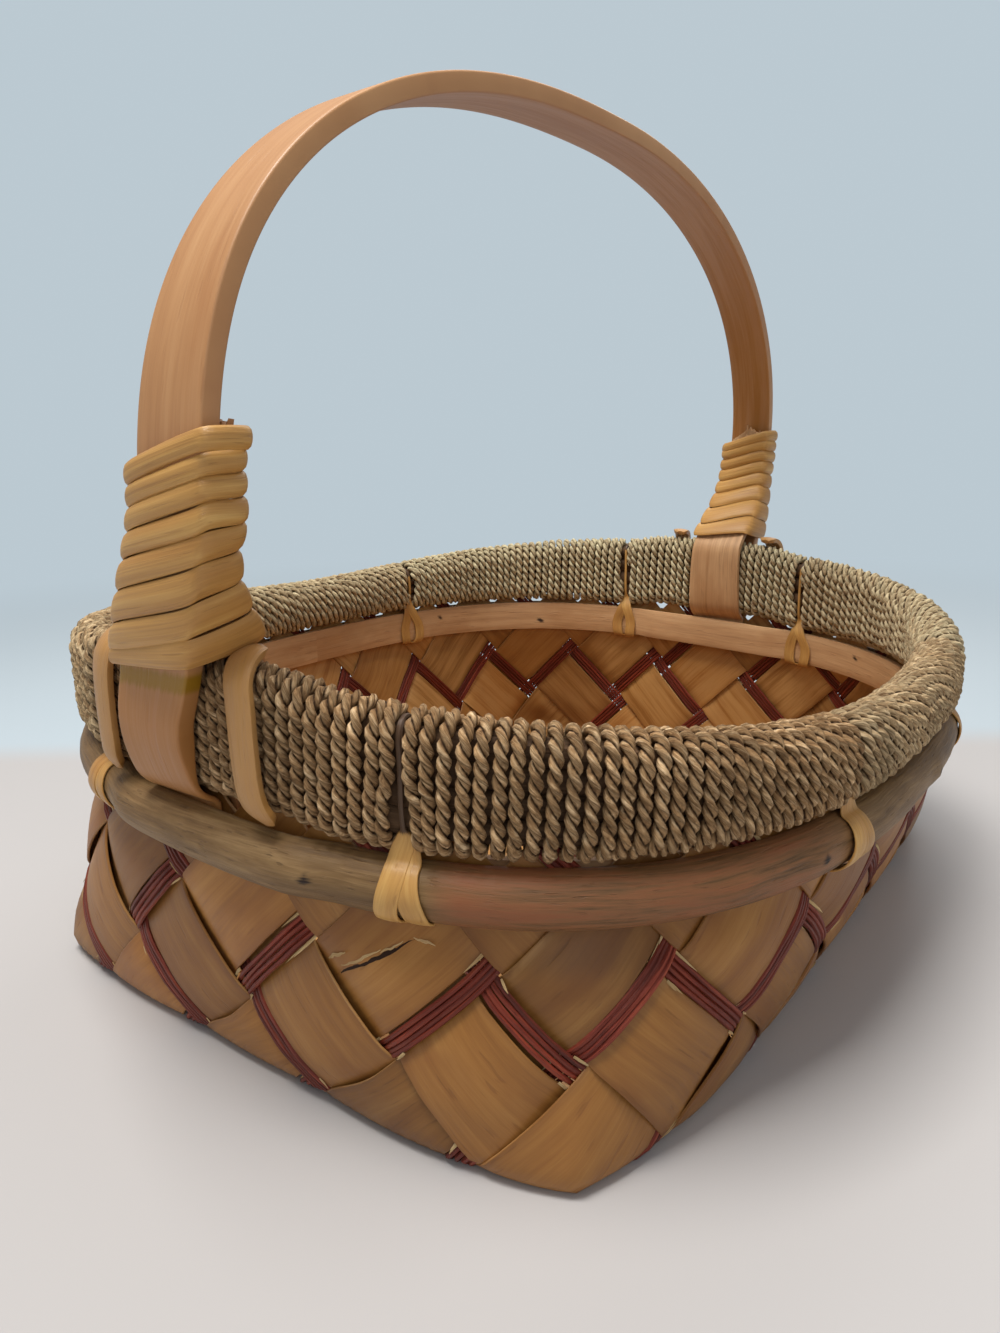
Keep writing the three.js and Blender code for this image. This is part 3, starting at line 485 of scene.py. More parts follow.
def shadedWornEdge(tree, look, uv, streaks, colour):
    across = addNode(tree, "SeparateXYZ", {0: uv}).outputs[1]
    half = look["edge"] / 2
    away = maths(tree, "ABSOLUTE", maths(tree, "SUBTRACT", across, half))
    # painted shade: darker towards each side of the strip; the pale rim at the very edge is wear
    shade = times(tree, between(tree, away, half - 0.0035, half - 0.0005), 0.4)
    colour = blend(tree, shade, colour, look["dark"])
    rim = between(tree, away, half - 0.0005, half - 0.0001)
    worn = times(tree, times(tree, rim, between(tree, streaks, 0.5, 0.62)), 0.4)
    return blend(tree, worn, colour, look["edgeColour"])


def makeWood(name, grain):
    look = looks[name]
    material = bpy.data.materials.new(name)
    material.use_nodes = True
    tree = material.node_tree
    uv = addNode(tree, "UVMap", uv_map="fibre").outputs["UV"]
    tone = attribute(tree, "tone")
    fed = {"Place": uv, "Tone": tone, "Along": look["along"], "Across": look["across"]}
    streaks, fibres, blotches, pores = addNode(tree, "Group", fed, node_tree=grain).outputs
    value = plus(tree, times(tree, streaks, 0.65), times(tree, fibres, 0.35))
    ramp = addNode(tree, "ValToRGB", {"Fac": value})
    stops = ramp.color_ramp.elements
    stops.new(0.5)
    for stop, side, key in zip(stops, (-1, 0, 1), ("dark", "middle", "light")):
        stop.position = 0.5 + side * look["contrast"]
        stop.color = (*look[key], 1)
    stained = times(tree, between(tree, blotches, 0.42, 0.68), look["staining"])
    colour = blend(tree, stained, ramp.outputs["Color"], look["stain"])
    colour = blend(tree, times(tree, pores, 0.35), colour, look["dark"])
    if "edge" in look:
        colour = shadedWornEdge(tree, look, uv, streaks, colour)
    # each strip of stock is a little lighter or darker than the next
    level = plus(tree, times(tree, tone, look["spread"]), 1 - look["spread"] / 2)
    grey = addNode(tree, "CombineColor", {0: level, 1: level, 2: level}).outputs[0]
    colour = blend(tree, 1.0, colour, grey, "MULTIPLY")
    if "tintAndShading" in look:  # a real tint on some pieces, painted light or painted shade on others; all keep the grain
        recoloured = times(tree, attribute(tree, "tintAndShading"), between(tree, value, 0.3, 0.62))
        colour = blend(tree, recoloured, colour, look["tintAndShading"])
    if "markAndShade" in look:  # knots, stains and painted shade in grooves, splits and hidden places have ragged edges
        markAndShadePaint = attribute(tree, "markAndShade")
        ragged = plus(tree, markAndShadePaint, times(tree, maths(tree, "SUBTRACT", fibres, 0.5), 0.7))
        markAndShadeShare = times(tree, between(tree, ragged, 0.35, 0.75), between(tree, markAndShadePaint, 0.02, 0.2))
        colour = blend(tree, markAndShadeShare, colour, look["markAndShade"])
    relief = plus(tree, times(tree, streaks, 1.2), times(tree, fibres, 0.9))
    relief = maths(tree, "SUBTRACT", relief, times(tree, pores, 0.5))
    bump = addNode(tree, "Bump", {"Height": relief, "Strength": 0.9, "Distance": look["depth"]})
    shader = {
        "Base Color": colour,
        "Roughness": plus(tree, look["roughness"] - 0.1, times(tree, fibres, 0.2)),
        "Specular IOR Level": look["shine"],
        "IOR": 1.45,
        "Normal": bump.outputs["Normal"],
    }
    for key, value in shader.items():
        feed(tree, tree.nodes["Principled BSDF"].inputs[key], value)
    return material


fibreGrain = makeGrain()
woods = {name: makeWood(name, fibreGrain) for name in looks}
print("materials ready")


def finishPiece(piece, wood, node, angle=40):
    pick(piece)
    bpy.ops.object.shade_smooth_by_angle(angle=math.radians(angle))
    piece.data.materials.clear()
    piece.data.materials.append(woods[wood])
    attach(piece, "root")
    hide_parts(node)


# The plaited body. Wall and base are one sheet laid flat: 8 cells by 12 cells of base, with
# the wall going on across each fold. Splints cross it at 45 degrees.
plait = {
    "cell": 33.2,  # half the diagonal of a plait square
    "cornerShift": -31.0,  # from the bend of the outline to the corner of the flat base
    "splintWidth": 37.6,
    "splintThickness": 1.15,
    "splintFrom": -23.2,  # its edge, from the middle of the pair
    "splintStep": 3.4,
    "bundleAt": 15.4,  # from the middle of the pair to the red strands
    "strandWidth": 2.0,
    "strandThickness": 1.9,
    "strandSides": 6,
    "strandStep": 3.6,
    "strands": 4,
    "frays": 4,  # pale slivers at each place where a bundle dips
    # splints that are darker (0) or lighter (1) than chance would have them
    "tones": {
        (0, 3): 0.95, (0, 5): 0.55, (0, 7): 0.08, (0, 9): 0.55,
        (0, 11): 0.4, (0, 13): 0.3, (1, 7): 0.5, (1, 5): 0.35,
    },
    # a split in one splint: row, from and to along it, from and to across it, width, lift, pale (torn
    # fibre; the others are dark slivers of painted shade in the split)
    "split": [
        (5, -73, -105, -9.5, -2.5, 0.75, 0, False), (5, -84, -100, -7.5, -3.5, 0.8, 0, False),
        (5, -76, -94, -10.7, -6.9, 0.4, 0.9, True), (5, -90, -102, -6.6, -4.8, 0.3, 1.6, True),
        (5, -71, -82, -15.5, -13.4, 0.55, 0.8, True), (5, -104, -109, -3.5, 2.5, 0.5, 1.2, True),
    ],
    "wallSwing": 2.0,  # how far a splint swings out and in as it crosses the others
    "baseSwing": 1.05,
    "rimSwing": 0.72,
    "rimFrom": (64, 80),  # up the wall, where the hoops begin to press the plait flat
    "flatness": 2.6,  # how flat a splint lies between two crossings
    "cup": 0.28,  # how far its middle stands above its edges where it passes over
    "crown": 0.175,
    "slack": 0.22,  # of the wall between its foot and the hoops
    "foldRadius": 6.0,
    "topEdge": 103.5,  # height where the strips end, between the hoops
    "cornerPoint": 6.0,  # how far a folded splint stands out at a corner
    "cornerReach": 13.0,
    # where the rows stray from an even plait: place in cells, distance in millimetres
    "slashStray": [(-9, 0), (-6.5, 0), (-4.2, 5), (-2.2, 5.5), (-0.2, -4), (1.8, -1.5), (5, 0)],
    "backStray": [(-8, 0), (-3.8, -2), (-1.8, -2), (1.8, 5.5), (3.8, 2.5), (7, 0)],
    "oddStray": 1.1,  # by chance, either way
}
cell = plait["cell"]
across8, across12 = 8 * cell, 12 * cell
flatLength = 40 * cell
foldHalf = math.pi * plait["foldRadius"] / 4
baseLevel = plait["baseSwing"] + plait["splintThickness"] / 2 + 0.15
sideStarts = np.array([-across8, 0, across12, across12 + across8])  # round the flat base
sideSizes = np.array([across8, across12, across8, across12])


def ringOutline(share, angle):  # of the wall, at a share of its height
    bulge = shape["wallBulge"] * np.sin(math.pi * share)
    halfX = mix(shape["baseHalfX"], shape["rimHalfX"], share) + bulge
    halfY = mix(shape["baseHalfY"], shape["rimHalfY"], share) + bulge
    return outline(halfX, halfY, mix(shape["baseSquareness"], shape["rimSquareness"], share**0.5), angle)


# Directions of even steps round the outline, at 25 heights from the base to the hoops
heightSteps = 24
lengthSteps = 1440
roundTable = []
for step in range(heightSteps + 1):
    run = runAlong(np.stack(ringOutline(step / heightSteps, rimSteps)[:2], -1))
    roundTable.append(np.interp(np.linspace(0, 1, lengthSteps + 1), run / run[-1], rimSteps))
    if step == 0:
        bendX, bendY = ringOutline(0, rimSteps)[2:]
        bend45 = run[np.argmin(np.abs(np.arctan2(bendY, bendX)[:-1] + math.pi / 4))] / run[-1]
roundTable = np.array(roundTable)
firstCorner = bend45 + plait["cornerShift"] / flatLength
bends = [cells * cell - plait["cornerShift"] for cells in (0, 12, 20, 32)]


def ringPlace(s, share, inset):
    i = share * heightSteps
    i0 = np.minimum(heightSteps - 1, i.astype(int))
    j = np.mod(s / flatLength + firstCorner, 1) * lengthSteps
    j0 = np.minimum(lengthSteps - 1, j.astype(int))
    low, high = (mix(roundTable[k, j0], roundTable[k, j0 + 1], j - j0) for k in (i0, i0 + 1))
    x, y, nx, ny = ringOutline(share, mix(low, high, i - i0))
    return x - nx * inset, y - ny * inset, nx, ny


stray = np.random.default_rng(7).uniform(-plait["oddStray"], plait["oddStray"], 40)


def strayed(knots, place):  # how far a row strays, by its place round the basket
    place = np.mod(place / cell + 20, 40) - 20
    odd = np.interp(place, np.arange(-20, 21) + 0.8, np.append(stray, stray[0]))
    return np.interp(place, *zip(*knots)) + odd


# s runs round the basket, w up the wall, both along the sheet; below 0 is the base's edge
def foldPlace(s, w):
    radius = plait["foldRadius"]
    part = np.clip((w + foldHalf) / radius, 0, math.pi / 2)
    inset = radius - radius * np.sin(part) + np.maximum(0, -w - foldHalf)
    height = baseLevel + radius - radius * np.cos(part) + np.maximum(0, w - foldHalf)
    share = np.clip(height / shape["clampBottom"], 0, 1)
    x, y, nx, ny = ringPlace(s, share, inset)
    away = [np.abs(np.mod(s - at + flatLength / 2, flatLength) - flatLength / 2) for at in bends]
    point = plait["cornerPoint"] * np.exp(-np.min(away, axis=0) / plait["cornerReach"])
    point = point * smooth(w, -14, -2) * (1 - smooth(w, 2, 34))
    x, y = x + nx * point, y + ny * point
    normal = np.stack([nx * np.sin(part), ny * np.sin(part), -np.cos(part)], -1)
    return np.stack([x, shape["centreY"] + y, height + leanAt(x) * share], -1), normal


def wallPlace(s, w):
    settle = smooth(w, 0, 25)
    slash = strayed(plait["slashStray"], s - w) * settle
    back = strayed(plait["backStray"], s + w) * settle
    return foldPlace(s + (slash + back) / math.sqrt(2), w + (back - slash) / math.sqrt(2))


def sidesOf(u, v):  # distance inside each side of the flat base, and the place along it
    return (
        (v, u - across8),
        (across8 - u, v),
        (across12 - v, across12 + across8 - u),
        (u, across8 + 2 * across12 - v),
    )


def innerBase(u, v):  # inside the fold: a patch spanned between the four sides
    a = np.clip((u - foldHalf) / (across8 - 2 * foldHalf), 0, 1)
    b = np.clip((v - foldHalf) / (across12 - 2 * foldHalf), 0, 1)

    def edge(side, share):
        s = sideStarts[side] + share * sideSizes[side]
        return foldPlace(s, np.full_like(s, -foldHalf))[0][..., :2]

    south, east, north, west = edge(0, a), edge(1, b), edge(2, 1 - a), edge(3, 1 - b)
    corners = [edge(side, 0 * a) for side in range(4)]
    a, b = a[..., None], b[..., None]
    flat = (1 - b) * south + b * north + (1 - a) * west + a * east
    flat -= (1 - b) * mix(corners[0], corners[1], a) + b * mix(corners[3], corners[2], a)
    return np.concatenate([flat, np.full(flat.shape[:-1] + (1,), baseLevel)], -1)


def basePlace(u, v):
    u, v = np.clip(u, 0, across8), np.clip(v, 0, across12)
    inside, along = (np.stack(rows) for rows in zip(*sidesOf(u, v)))
    side = inside.argmin(0)
    depth, s = (np.take_along_axis(rows, side[None], 0)[0] for rows in (inside, along))
    starts, sizes = sideStarts[side], sideSizes[side]
    drawn = starts + np.clip((s - starts - foldHalf) / (sizes - 2 * foldHalf), 0, 1) * sizes
    s = mix(s, drawn, np.clip(depth / foldHalf, 0, 1))
    ring, ringNormal = foldPlace(s, -np.minimum(depth, foldHalf))
    deep = (depth >= foldHalf)[..., None]
    return np.where(deep, innerBase(u, v), ring), np.where(deep, np.array([0, 0, -1.0]), ringNormal)


# One row of the plait: a splint with the red strands beside it. t runs along it from where
# it meets the fold, c across it. Family 0 keeps x + y of the sheet, family 1 x - y.
class Run:
    def __init__(self, family, row):
        c = row * cell
        if family == 0:
            start = (c, 0, 0) if c <= across8 else (across8, c - across8, 1)
            end = (0, c, 3) if c <= across12 else (c - across12, across12, 2)
        else:
            start = (c, 0, 0) if c >= 0 else (0, -c, 3)
            end = (across8, across8 - c, 1) if across8 - c <= across12 else (c + across12, across12, 2)
        self.start = np.array(start[:2], float)
        self.sides = (start[2], end[2])
        self.phase = 1 if (family == 0) == (start[2] in (0, 2)) else -1
        self.length = float(np.hypot(*(np.array(end[:2]) - self.start)))
        self.ahead = np.array([1 - 2 * (family == 0), 1]) / math.sqrt(2)
        self.aside = np.array([1 - 2 * (family == 1), 1]) / math.sqrt(2)
        self.rise = (plait["topEdge"] - baseLevel - plait["foldRadius"] + foldHalf) * math.sqrt(2)

    def place(self, t, c):
        t, c = np.broadcast_arrays(np.asarray(t, float), np.asarray(c, float))
        u, v = (self.start[k] + self.ahead[k] * t + self.aside[k] * c for k in (0, 1))
        w, s = np.zeros_like(u), np.zeros_like(u)
        first = t < self.length / 2
        for half, side in zip((first, ~first), self.sides):
            depth, along = sidesOf(u, v)[side]
            w[half] = -depth[half]
            s[half] = along[half]
        spot, out = np.zeros(t.shape + (3,)), np.zeros(t.shape + (3,))
        onWall = w >= 0
        if onWall.any():
            spot[onWall], out[onWall] = wallPlace(s[onWall], w[onWall])
        if not onWall.all():
            spot[~onWall], out[~onWall] = basePlace(u[~onWall], v[~onWall])
        return spot, out, w

    def swing(self, t, w):  # over one, under one, flat on the crossings and quick between them
        wave = self.phase * np.cos(math.pi * t / (cell * math.sqrt(2)))
        size = mix(plait["baseSwing"], plait["wallSwing"], smooth(w, 4, 22))
        size = mix(size, plait["rimSwing"], smooth(w, *plait["rimFrom"]))
        flat = np.tanh(plait["flatness"] * wave) / math.tanh(plait["flatness"])
        return size * flat, np.maximum(0, wave) * size


def makeSplint(family, row, seed):
    run = Run(family, row)
    low, high = -run.rise, run.length + run.rise
    wander = np.random.default_rng(seed)
    left = plait["splintFrom"] + wander.uniform(0, 0.8)
    right = left + plait["splintWidth"] + wander.uniform(-0.6, 0.6)
    middle = plait["splintFrom"] + plait["splintWidth"] / 2

    def bend(along, across):
        t = mix(low, high, along)
        edges = left + 0.5 * ripple(t, seed + 1, 26.0), right + 0.5 * ripple(t, seed + 2, 31.0)
        c = mix(*edges, across + 0.5)
        spot, out, w = run.place(t, c)
        swing, over = run.swing(t, w)
        cup = plait["cup"] * over * (1 - (np.abs(c - middle) / plait["splintWidth"] * 2) ** 2)
        crown = plait["crown"] * over**2
        slack = plait["slack"] * ripple(t + c * 0.6, seed, 14.0)
        slack = slack * smooth(w, 6, 20) * (1 - smooth(w, *plait["rimFrom"]))
        return spot + out * (swing + cup + crown + slack)[..., None]

    tone = plait["tones"].get((family, row), wander.uniform(0, 1))
    steps = int((high - low) / plait["splintStep"])
    piece = bentStrip("splint", steps, 10, bend, high - low, right - left, tone)
    thicken(piece, plait["splintThickness"], 0.3, 1)
    # painted light: the faces turned into the basket, and up on the base, are made lighter
    spots, facing = readPoints(piece)
    inward = 2 * facing[:, 2] - (facing[:, :2] * unit(spots[:, :2])).sum(1)
    setPaint(piece, "tintAndShading", smooth(inward, 0.2, 0.8) * wander.uniform(0.3, 1))
    return piece


def makeBundle(family, row, seed):
    run = Run(family, row)
    low, high = -run.rise + 2, run.length + run.rise - 2
    t = np.linspace(low, high, int((high - low) / plait["strandStep"]))
    around = np.arange(plait["strandSides"]) / plait["strandSides"] * turn
    wander = np.random.default_rng(seed)
    strands = []
    for k in range(plait["strands"]):
        c = plait["bundleAt"] + plait["strandWidth"] * (k + 0.5) + 0.22 * ripple(t, seed + k * 3, 17.0)
        spot, out, w = run.place(t, c)
        swing, over = run.swing(t, w)
        lift = 0.25 + 0.3 * over + 0.25 * ripple(t, seed + k, 9.0) * smooth(w, 4, 20)
        centre = spot + out * (swing + lift)[..., None]
        tangent = unit(np.gradient(centre, axis=0))
        flat = unit(np.cross(tangent, out))
        up = np.cross(flat, tangent)
        width = plait["strandWidth"] * 0.5 * (1 + 0.1 * ripple(t, seed + 9 + k, 8.0))
        rings = ringsRound(centre, flat, up, around, width[:, None], plait["strandThickness"] / 2)
        strands.append((rings, t - low, around / turn * 0.008 + 0.01 * k, wander.uniform(0, 1)))
    return tubePiece("bundle", strands)


def makeSliver(run, t, across, width, lift, shade, pale):
    around = np.arange(4) / 4 * turn
    spot, out, w = run.place(t, across)
    swing, over = run.swing(t, w)
    spot = spot + out * (swing + 0.35 * over + lift)[:, None]
    flat = unit(np.cross(np.gradient(spot, axis=0), out))
    rings = ringsRound(spot, flat, out, around, width[:, None], width[:, None] / 2)
    piece = tubePiece("sliver", [(rings, t, around * 0.0004, shade)])
    # dark slivers are painted shade in the split; pale ones are torn fibre
    setPaint(piece, "markAndShade", 0 if pale else 1)
    return piece


# Torn ends of fibre along the edges of the bundles, and one splint with a split in it
def makeFrays(rows, seed):
    wander = np.random.default_rng(seed)
    taper = np.array([0.5, 0.55, 0.38, 0.05])
    edges = np.array([-0.6, plait["strandWidth"] * plait["strands"] + 0.4]) + plait["bundleAt"]
    step = cell * math.sqrt(2)
    slivers = []
    for family, row in rows:
        run = Run(family, row)
        first = math.ceil((-run.rise + 18) / step - 0.5)
        last = math.floor((run.length + run.rise - 26) / step - 0.5)
        for k in range(first, last + 1):
            for _ in range(wander.integers(1, plait["frays"] + 1)):
                start = (k + 0.5) * step + wander.uniform(-7, 7)
                edge = wander.choice(edges)
                t = start + np.linspace(0, 1, 4) * wander.uniform(3, 11)
                across = edge + np.linspace(0, wander.uniform(-0.9, 0.9), 4)
                lift = 0.75 + np.linspace(0, wander.uniform(0.2, 1.4), 4)
                width = taper * wander.uniform(0.5, 1.2)
                if start < -24 or start > run.length + 12:  # only on the wall
                    slivers.append(makeSliver(run, t, across, width, lift, wander.uniform(0, 1), True))
    share = np.linspace(0, 1, 14)
    for row, start, end, left, right, width, lift, pale in plait["split"]:
        across = mix(left, right, share) + 0.5 * ripple(share * 30, abs(start), 4.0)
        size = width * (0.25 + np.sin(math.pi * np.clip(share, 0.02, 0.98)))
        t = mix(start, end, share)
        lift = 0.55 + lift * share**2
        slivers.append(makeSliver(Run(0, row), t, across, size, lift, 0.5, pale))
    return joinPieces("paleFrays", slivers)


def plaitBody():
    rows = [(0, c) for c in range(1, 20, 2)] + [(1, c) for c in range(7, -12, -2)]
    splints, bundles = ([], []), ([], [])
    for k, (family, row) in enumerate(rows):
        splints[family].append(makeSplint(family, row, 100 + 11 * k))
        bundles[family].append(makeBundle(family, row, 400 + 17 * k))
    made = (("splintFamily", "splintWood", splints), ("redStrands", "redStrand", bundles))
    for name, wood, families in made:
        for number, pieces in zip(("One", "Two"), families):
            finishPiece(joinPieces(name + number, pieces), wood, "woven_body")
    finishPiece(makeFrays(rows, 77), "paleFray", "woven_body")


# A smooth line through a row of points, read at places counted in points from 0
def lineAt(points, places):
    p = np.asarray(points, float)
    p = np.vstack([2 * p[0] - p[1], p, 2 * p[-1] - p[-2]])
    places = np.clip(np.asarray(places, float), 0, len(p) - 3 - 1e-9)
    i = places.astype(int)
    t = (places - i)[..., None]
    p0, p1, p2, p3 = (p[i + k] for k in range(4))
    gaps = [np.linalg.norm(b - a, axis=-1, keepdims=True) for a, b in ((p0, p1), (p1, p2), (p2, p3))]
    d0, d1, d2 = (np.maximum(1e-3, gap**0.5) for gap in gaps)
    m1 = ((p1 - p0) / d0 - (p2 - p0) / (d0 + d1) + (p2 - p1) / d1) * d1
    m2 = ((p2 - p1) / d1 - (p3 - p1) / (d1 + d2) + (p3 - p2) / d2) * d1
    between12 = p1 * (2 * t**3 - 3 * t**2 + 1) + p2 * (3 * t**2 - 2 * t**3)
    return between12 + m1 * (t**3 - 2 * t**2 + t) + m2 * (t**3 - t**2)


def columnsAt(rows, places, known):  # every column of a table, read at places on known ones
    return np.stack([np.interp(places, known, rows[:, k]) for k in range(rows.shape[1])], -1)


def readRows(rows, along):
    return columnsAt(rows, np.clip(along, 0, 1) * (len(rows) - 1), np.arange(len(rows)))


def evenly(points, count):
    fine = lineAt(points, np.linspace(0, len(points) - 1, 40 * len(points)))
    run = runAlong(fine)
    return columnsAt(fine, np.linspace(0, run[-1], count), run), run[-1]


# Hoops: a ring of stock, drawn as a torus and fitted to the rim
hoops = {
    "clamped": 1.85,  # half the wall between the hoops, with the gap
    "outerDepth": 10.0,
    "innerDepth": 4.5,
    "pushedOut": 3.6,  # by a foot of the handle
    "recoloured": (-66.0, -20.0),
    # direction in degrees, height on the hoop, how far it stands out, how wide
    "knots": [
        (-76.0, 1.0, 1.3, 6), (-41.5, -1.5, 1.6, 7), (-31.0, 1.0, 1.1, 5), (4.0, -1.0, 1.4, 6),
        (62.0, 0, 1.2, 6), (143.0, 1, 1.3, 6), (216.0, -1, 1.3, 6),
    ],
    "innerKnotsEvery": 83.0,
}


def awayFrom(at, degrees):  # along the rim
    return np.mod(at - lengthAt(math.radians(degrees)) + rimLength / 2, rimLength) - rimLength / 2


def hoopPush(angle):
    return hoops["clamped"] + legSwell(angle) * hoops["pushedOut"]


def fitRing(name, segments, sides, place):
    bpy.ops.object.select_all(action="DESELECT")
    bpy.ops.mesh.primitive_torus_add(
        major_segments=segments, minor_segments=sides, major_radius=1, minor_radius=0.1
    )
    piece = bpy.context.object
    piece.name = piece.data.name = name
    x, y, z = np.array([v.co for v in piece.data.vertices], float).T
    angle, around = np.arctan2(y, x), np.arctan2(z, np.hypot(x, y) - 1)
    placePoints(piece.data, place(angle, around))
    loops = np.array([l.vertex_index for l in piece.data.loops])
    uv = []
    for values, whole in ((lengthAt(angle), rimLength), (around / turn * 60, 60)):
        values = values[loops].reshape(-1, 4)
        low = values - values.mean(1, keepdims=True) < -whole / 4  # the seam
        uv.append(np.where(low, values + whole, values).ravel())
    layer = piece.data.uv_layers.active
    layer.name = "fibre"
    layer.data.foreach_set("uv", (np.stack(uv, -1) * mm).astype(np.float32).ravel())
    setPaint(piece, "tone", 0.5)
    return piece, lengthAt(angle), around


def makeOuterHoop():
    radius = shape["hoopHeight"] / 2
    middle = shape["hoopTop"] - radius

    def place(angle, around):
        at, up = lengthAt(angle), np.sin(around) * radius
        out = np.maximum(0, np.cos(around)) ** 0.9 * hoops["outerDepth"]
        out = out * (1 + 0.05 * ripple(at, 3, 60.0) + 0.02 * ripple(at, 4, 9.0))
        for degrees, rise, stand, wide in hoops["knots"]:
            bump = stand * np.exp(-((awayFrom(at, degrees) / wide) ** 2) - ((up - rise) / 4.5) ** 2)
            out = out + bump * (np.cos(around) > 0.05)
        return rimPlace(angle, hoopPush(angle) + out, middle + up * (1 - 0.02 * ripple(at, 5, 40.0) ** 2))

    piece, at, around = fitRing("outerHoopWood", 420, 22, place)
    spots = np.zeros(len(at))
    for degrees, rise, _, wide in hoops["knots"]:
        knot = (awayFrom(at, degrees) / wide * 2.2) ** 2 + ((np.sin(around) * radius - rise) / 2.2) ** 2
        spots = np.maximum(spots, np.exp(-knot))
    setPaint(piece, "markAndShade", spots)
    # one stretch of the stock is redder than the rest
    low, high = (lengthAt(math.radians(a)) for a in hoops["recoloured"])
    run = np.mod(at - low, rimLength)
    setPaint(piece, "tintAndShading", smooth(run, 0, 8) * (1 - smooth(run, high - low - 60, high - low)))
    return piece


def makeInnerHoop():
    high, deep = shape["hoopHeight"] / 2, hoops["innerDepth"] / 2

    def place(angle, around):
        c, s = np.cos(around), np.sin(around)
        size = (np.abs(c) ** 7 + np.abs(s) ** 7) ** (-1 / 7)  # a rounded rectangle
        at = lengthAt(angle)
        out = c * size * deep * (1 + 0.04 * ripple(at, 13, 50.0))
        up = s * size * high * (1 - 0.03 * ripple(at, 14, 45.0) ** 2)
        return rimPlace(angle, -hoopPush(angle) - deep - out, shape["hoopTop"] - high + up)

    piece, at, around = fitRing("innerHoopLitWood", 360, 20, place)
    spots = np.zeros(len(at))
    for k, stop in enumerate(np.arange(40, rimLength, hoops["innerKnotsEvery"])):
        knot = ((at - stop) / 2.2) ** 2 + ((np.sin(around) * high - 3 * (-1) ** k) / 1.6) ** 2
        spots = np.maximum(spots, 0.9 * np.exp(-knot))
    setPaint(piece, "markAndShade", spots)
    return piece


# The rim roll: rods bundled inside a twisted cord
roll = {
    "halfWidth": 11.5,
    "halfWidthSwing": 1.5,
    "halfHeight": 20.5,
    "halfHeightSwing": 5.0,
    "gap": 1.2,
    "legLift": 2.8,
    "coreInset": 5.85,
    "rodRows": 2,
    "rodSides": 8,
    "rodFill": 0.49,  # of its share of the core
    "cordRadius": 2.85,
    "strandRadius": 1.72,
    "strandSides": 7,
    "pitch": 5.2,  # from one turn of the cord to the next
    "flattened": 0.88,  # a cord is squeezed by the turns beside it
    "lay": 10.5,  # length of one twist of its plies
    "stepsPerTurn": 62,
    "ties": [-68, -24.5, 24.5, 72, 107.5, 155.5, 204.5, 252],
    # at each tie: how far the turns part for it, and how much stays bare between them
    "parting": [2.0, 0.5, 0.3, 0.3, 0.3, 0.3, 0.3, 0.3],
    "bareAtTie": [0.8, 1.6, 1.6, 1.6, 1.6, 1.6, 1.6, 1.6],
    "bleachedAndLit": [0, 0.3, 0.7, 1, 1, 0.7, 0.3, 0],  # how pale each run is: partly bleached, partly painted light on the far runs
}


def rollSize(angle):  # half its width, half its height, and the height of its middle
    w = roll["halfWidth"] + roll["halfWidthSwing"] * np.cos(2 * angle)
    h = roll["halfHeight"] - roll["halfHeightSwing"] * np.cos(2 * angle)
    return w, h, shape["hoopTop"] + roll["gap"] + roll["legLift"] * legSwell(angle) + h


# A place on a section with round top and bottom, by its share of the way round from the
# middle of the outer side: out, up and the direction it faces
def roundRoll(share, w, h):
    straight = h - w
    length = 4 * straight + turn * w
    s = np.mod(share, 1) * length
    topEnd = straight + math.pi * w
    innerEnd = topEnd + 2 * straight
    zones = [s < straight, s < topEnd, s < innerEnd, s < innerEnd + math.pi * w]
    top, low = (np.clip((s - start) / w, 0, math.pi) for start in (straight, innerEnd))
    face = np.select(zones, [0 * s, top, 0 * s + math.pi, math.pi + low], turn)
    middle = np.select(zones, [s, straight, straight - (s - topEnd), -straight], s - length)
    return w * np.cos(face), middle + w * np.sin(face), np.cos(face), np.sin(face)


def makeRods(name, side, seed):
    angle = np.linspace(0, turn, 220, endpoint=False)
    w, h, height = rollSize(angle)
    w, h = w - roll["coreInset"], h - roll["coreInset"]
    around = np.arange(roll["rodSides"]) / roll["rodSides"] * turn
    rods = []
    for k in range(2 * roll["rodRows"]):
        out = (k % 2 - 0.5) * w
        up = side * (k // 2 + 0.5) * h / roll["rodRows"]
        wave = ripple(lengthAt(angle), seed + k, 35.0) * smooth(np.minimum(angle, turn - angle), 0, 0.3)
        ringOut = out[:, None] + np.cos(around) * w[:, None] * roll["rodFill"]
        ringUp = up[:, None] + np.sin(around) * h[:, None] / roll["rodRows"] * roll["rodFill"]
        ringUp = ringUp + 0.15 * wave[:, None]
        rings = rimPlace(angle[:, None], ringOut, height[:, None] + ringUp)
        rods.append((rings, lengthAt(angle), around * 0.002 + 0.02 * k, (seed + k) * 0.37 % 1))
    return tubePiece(name, rods, ringed=True)


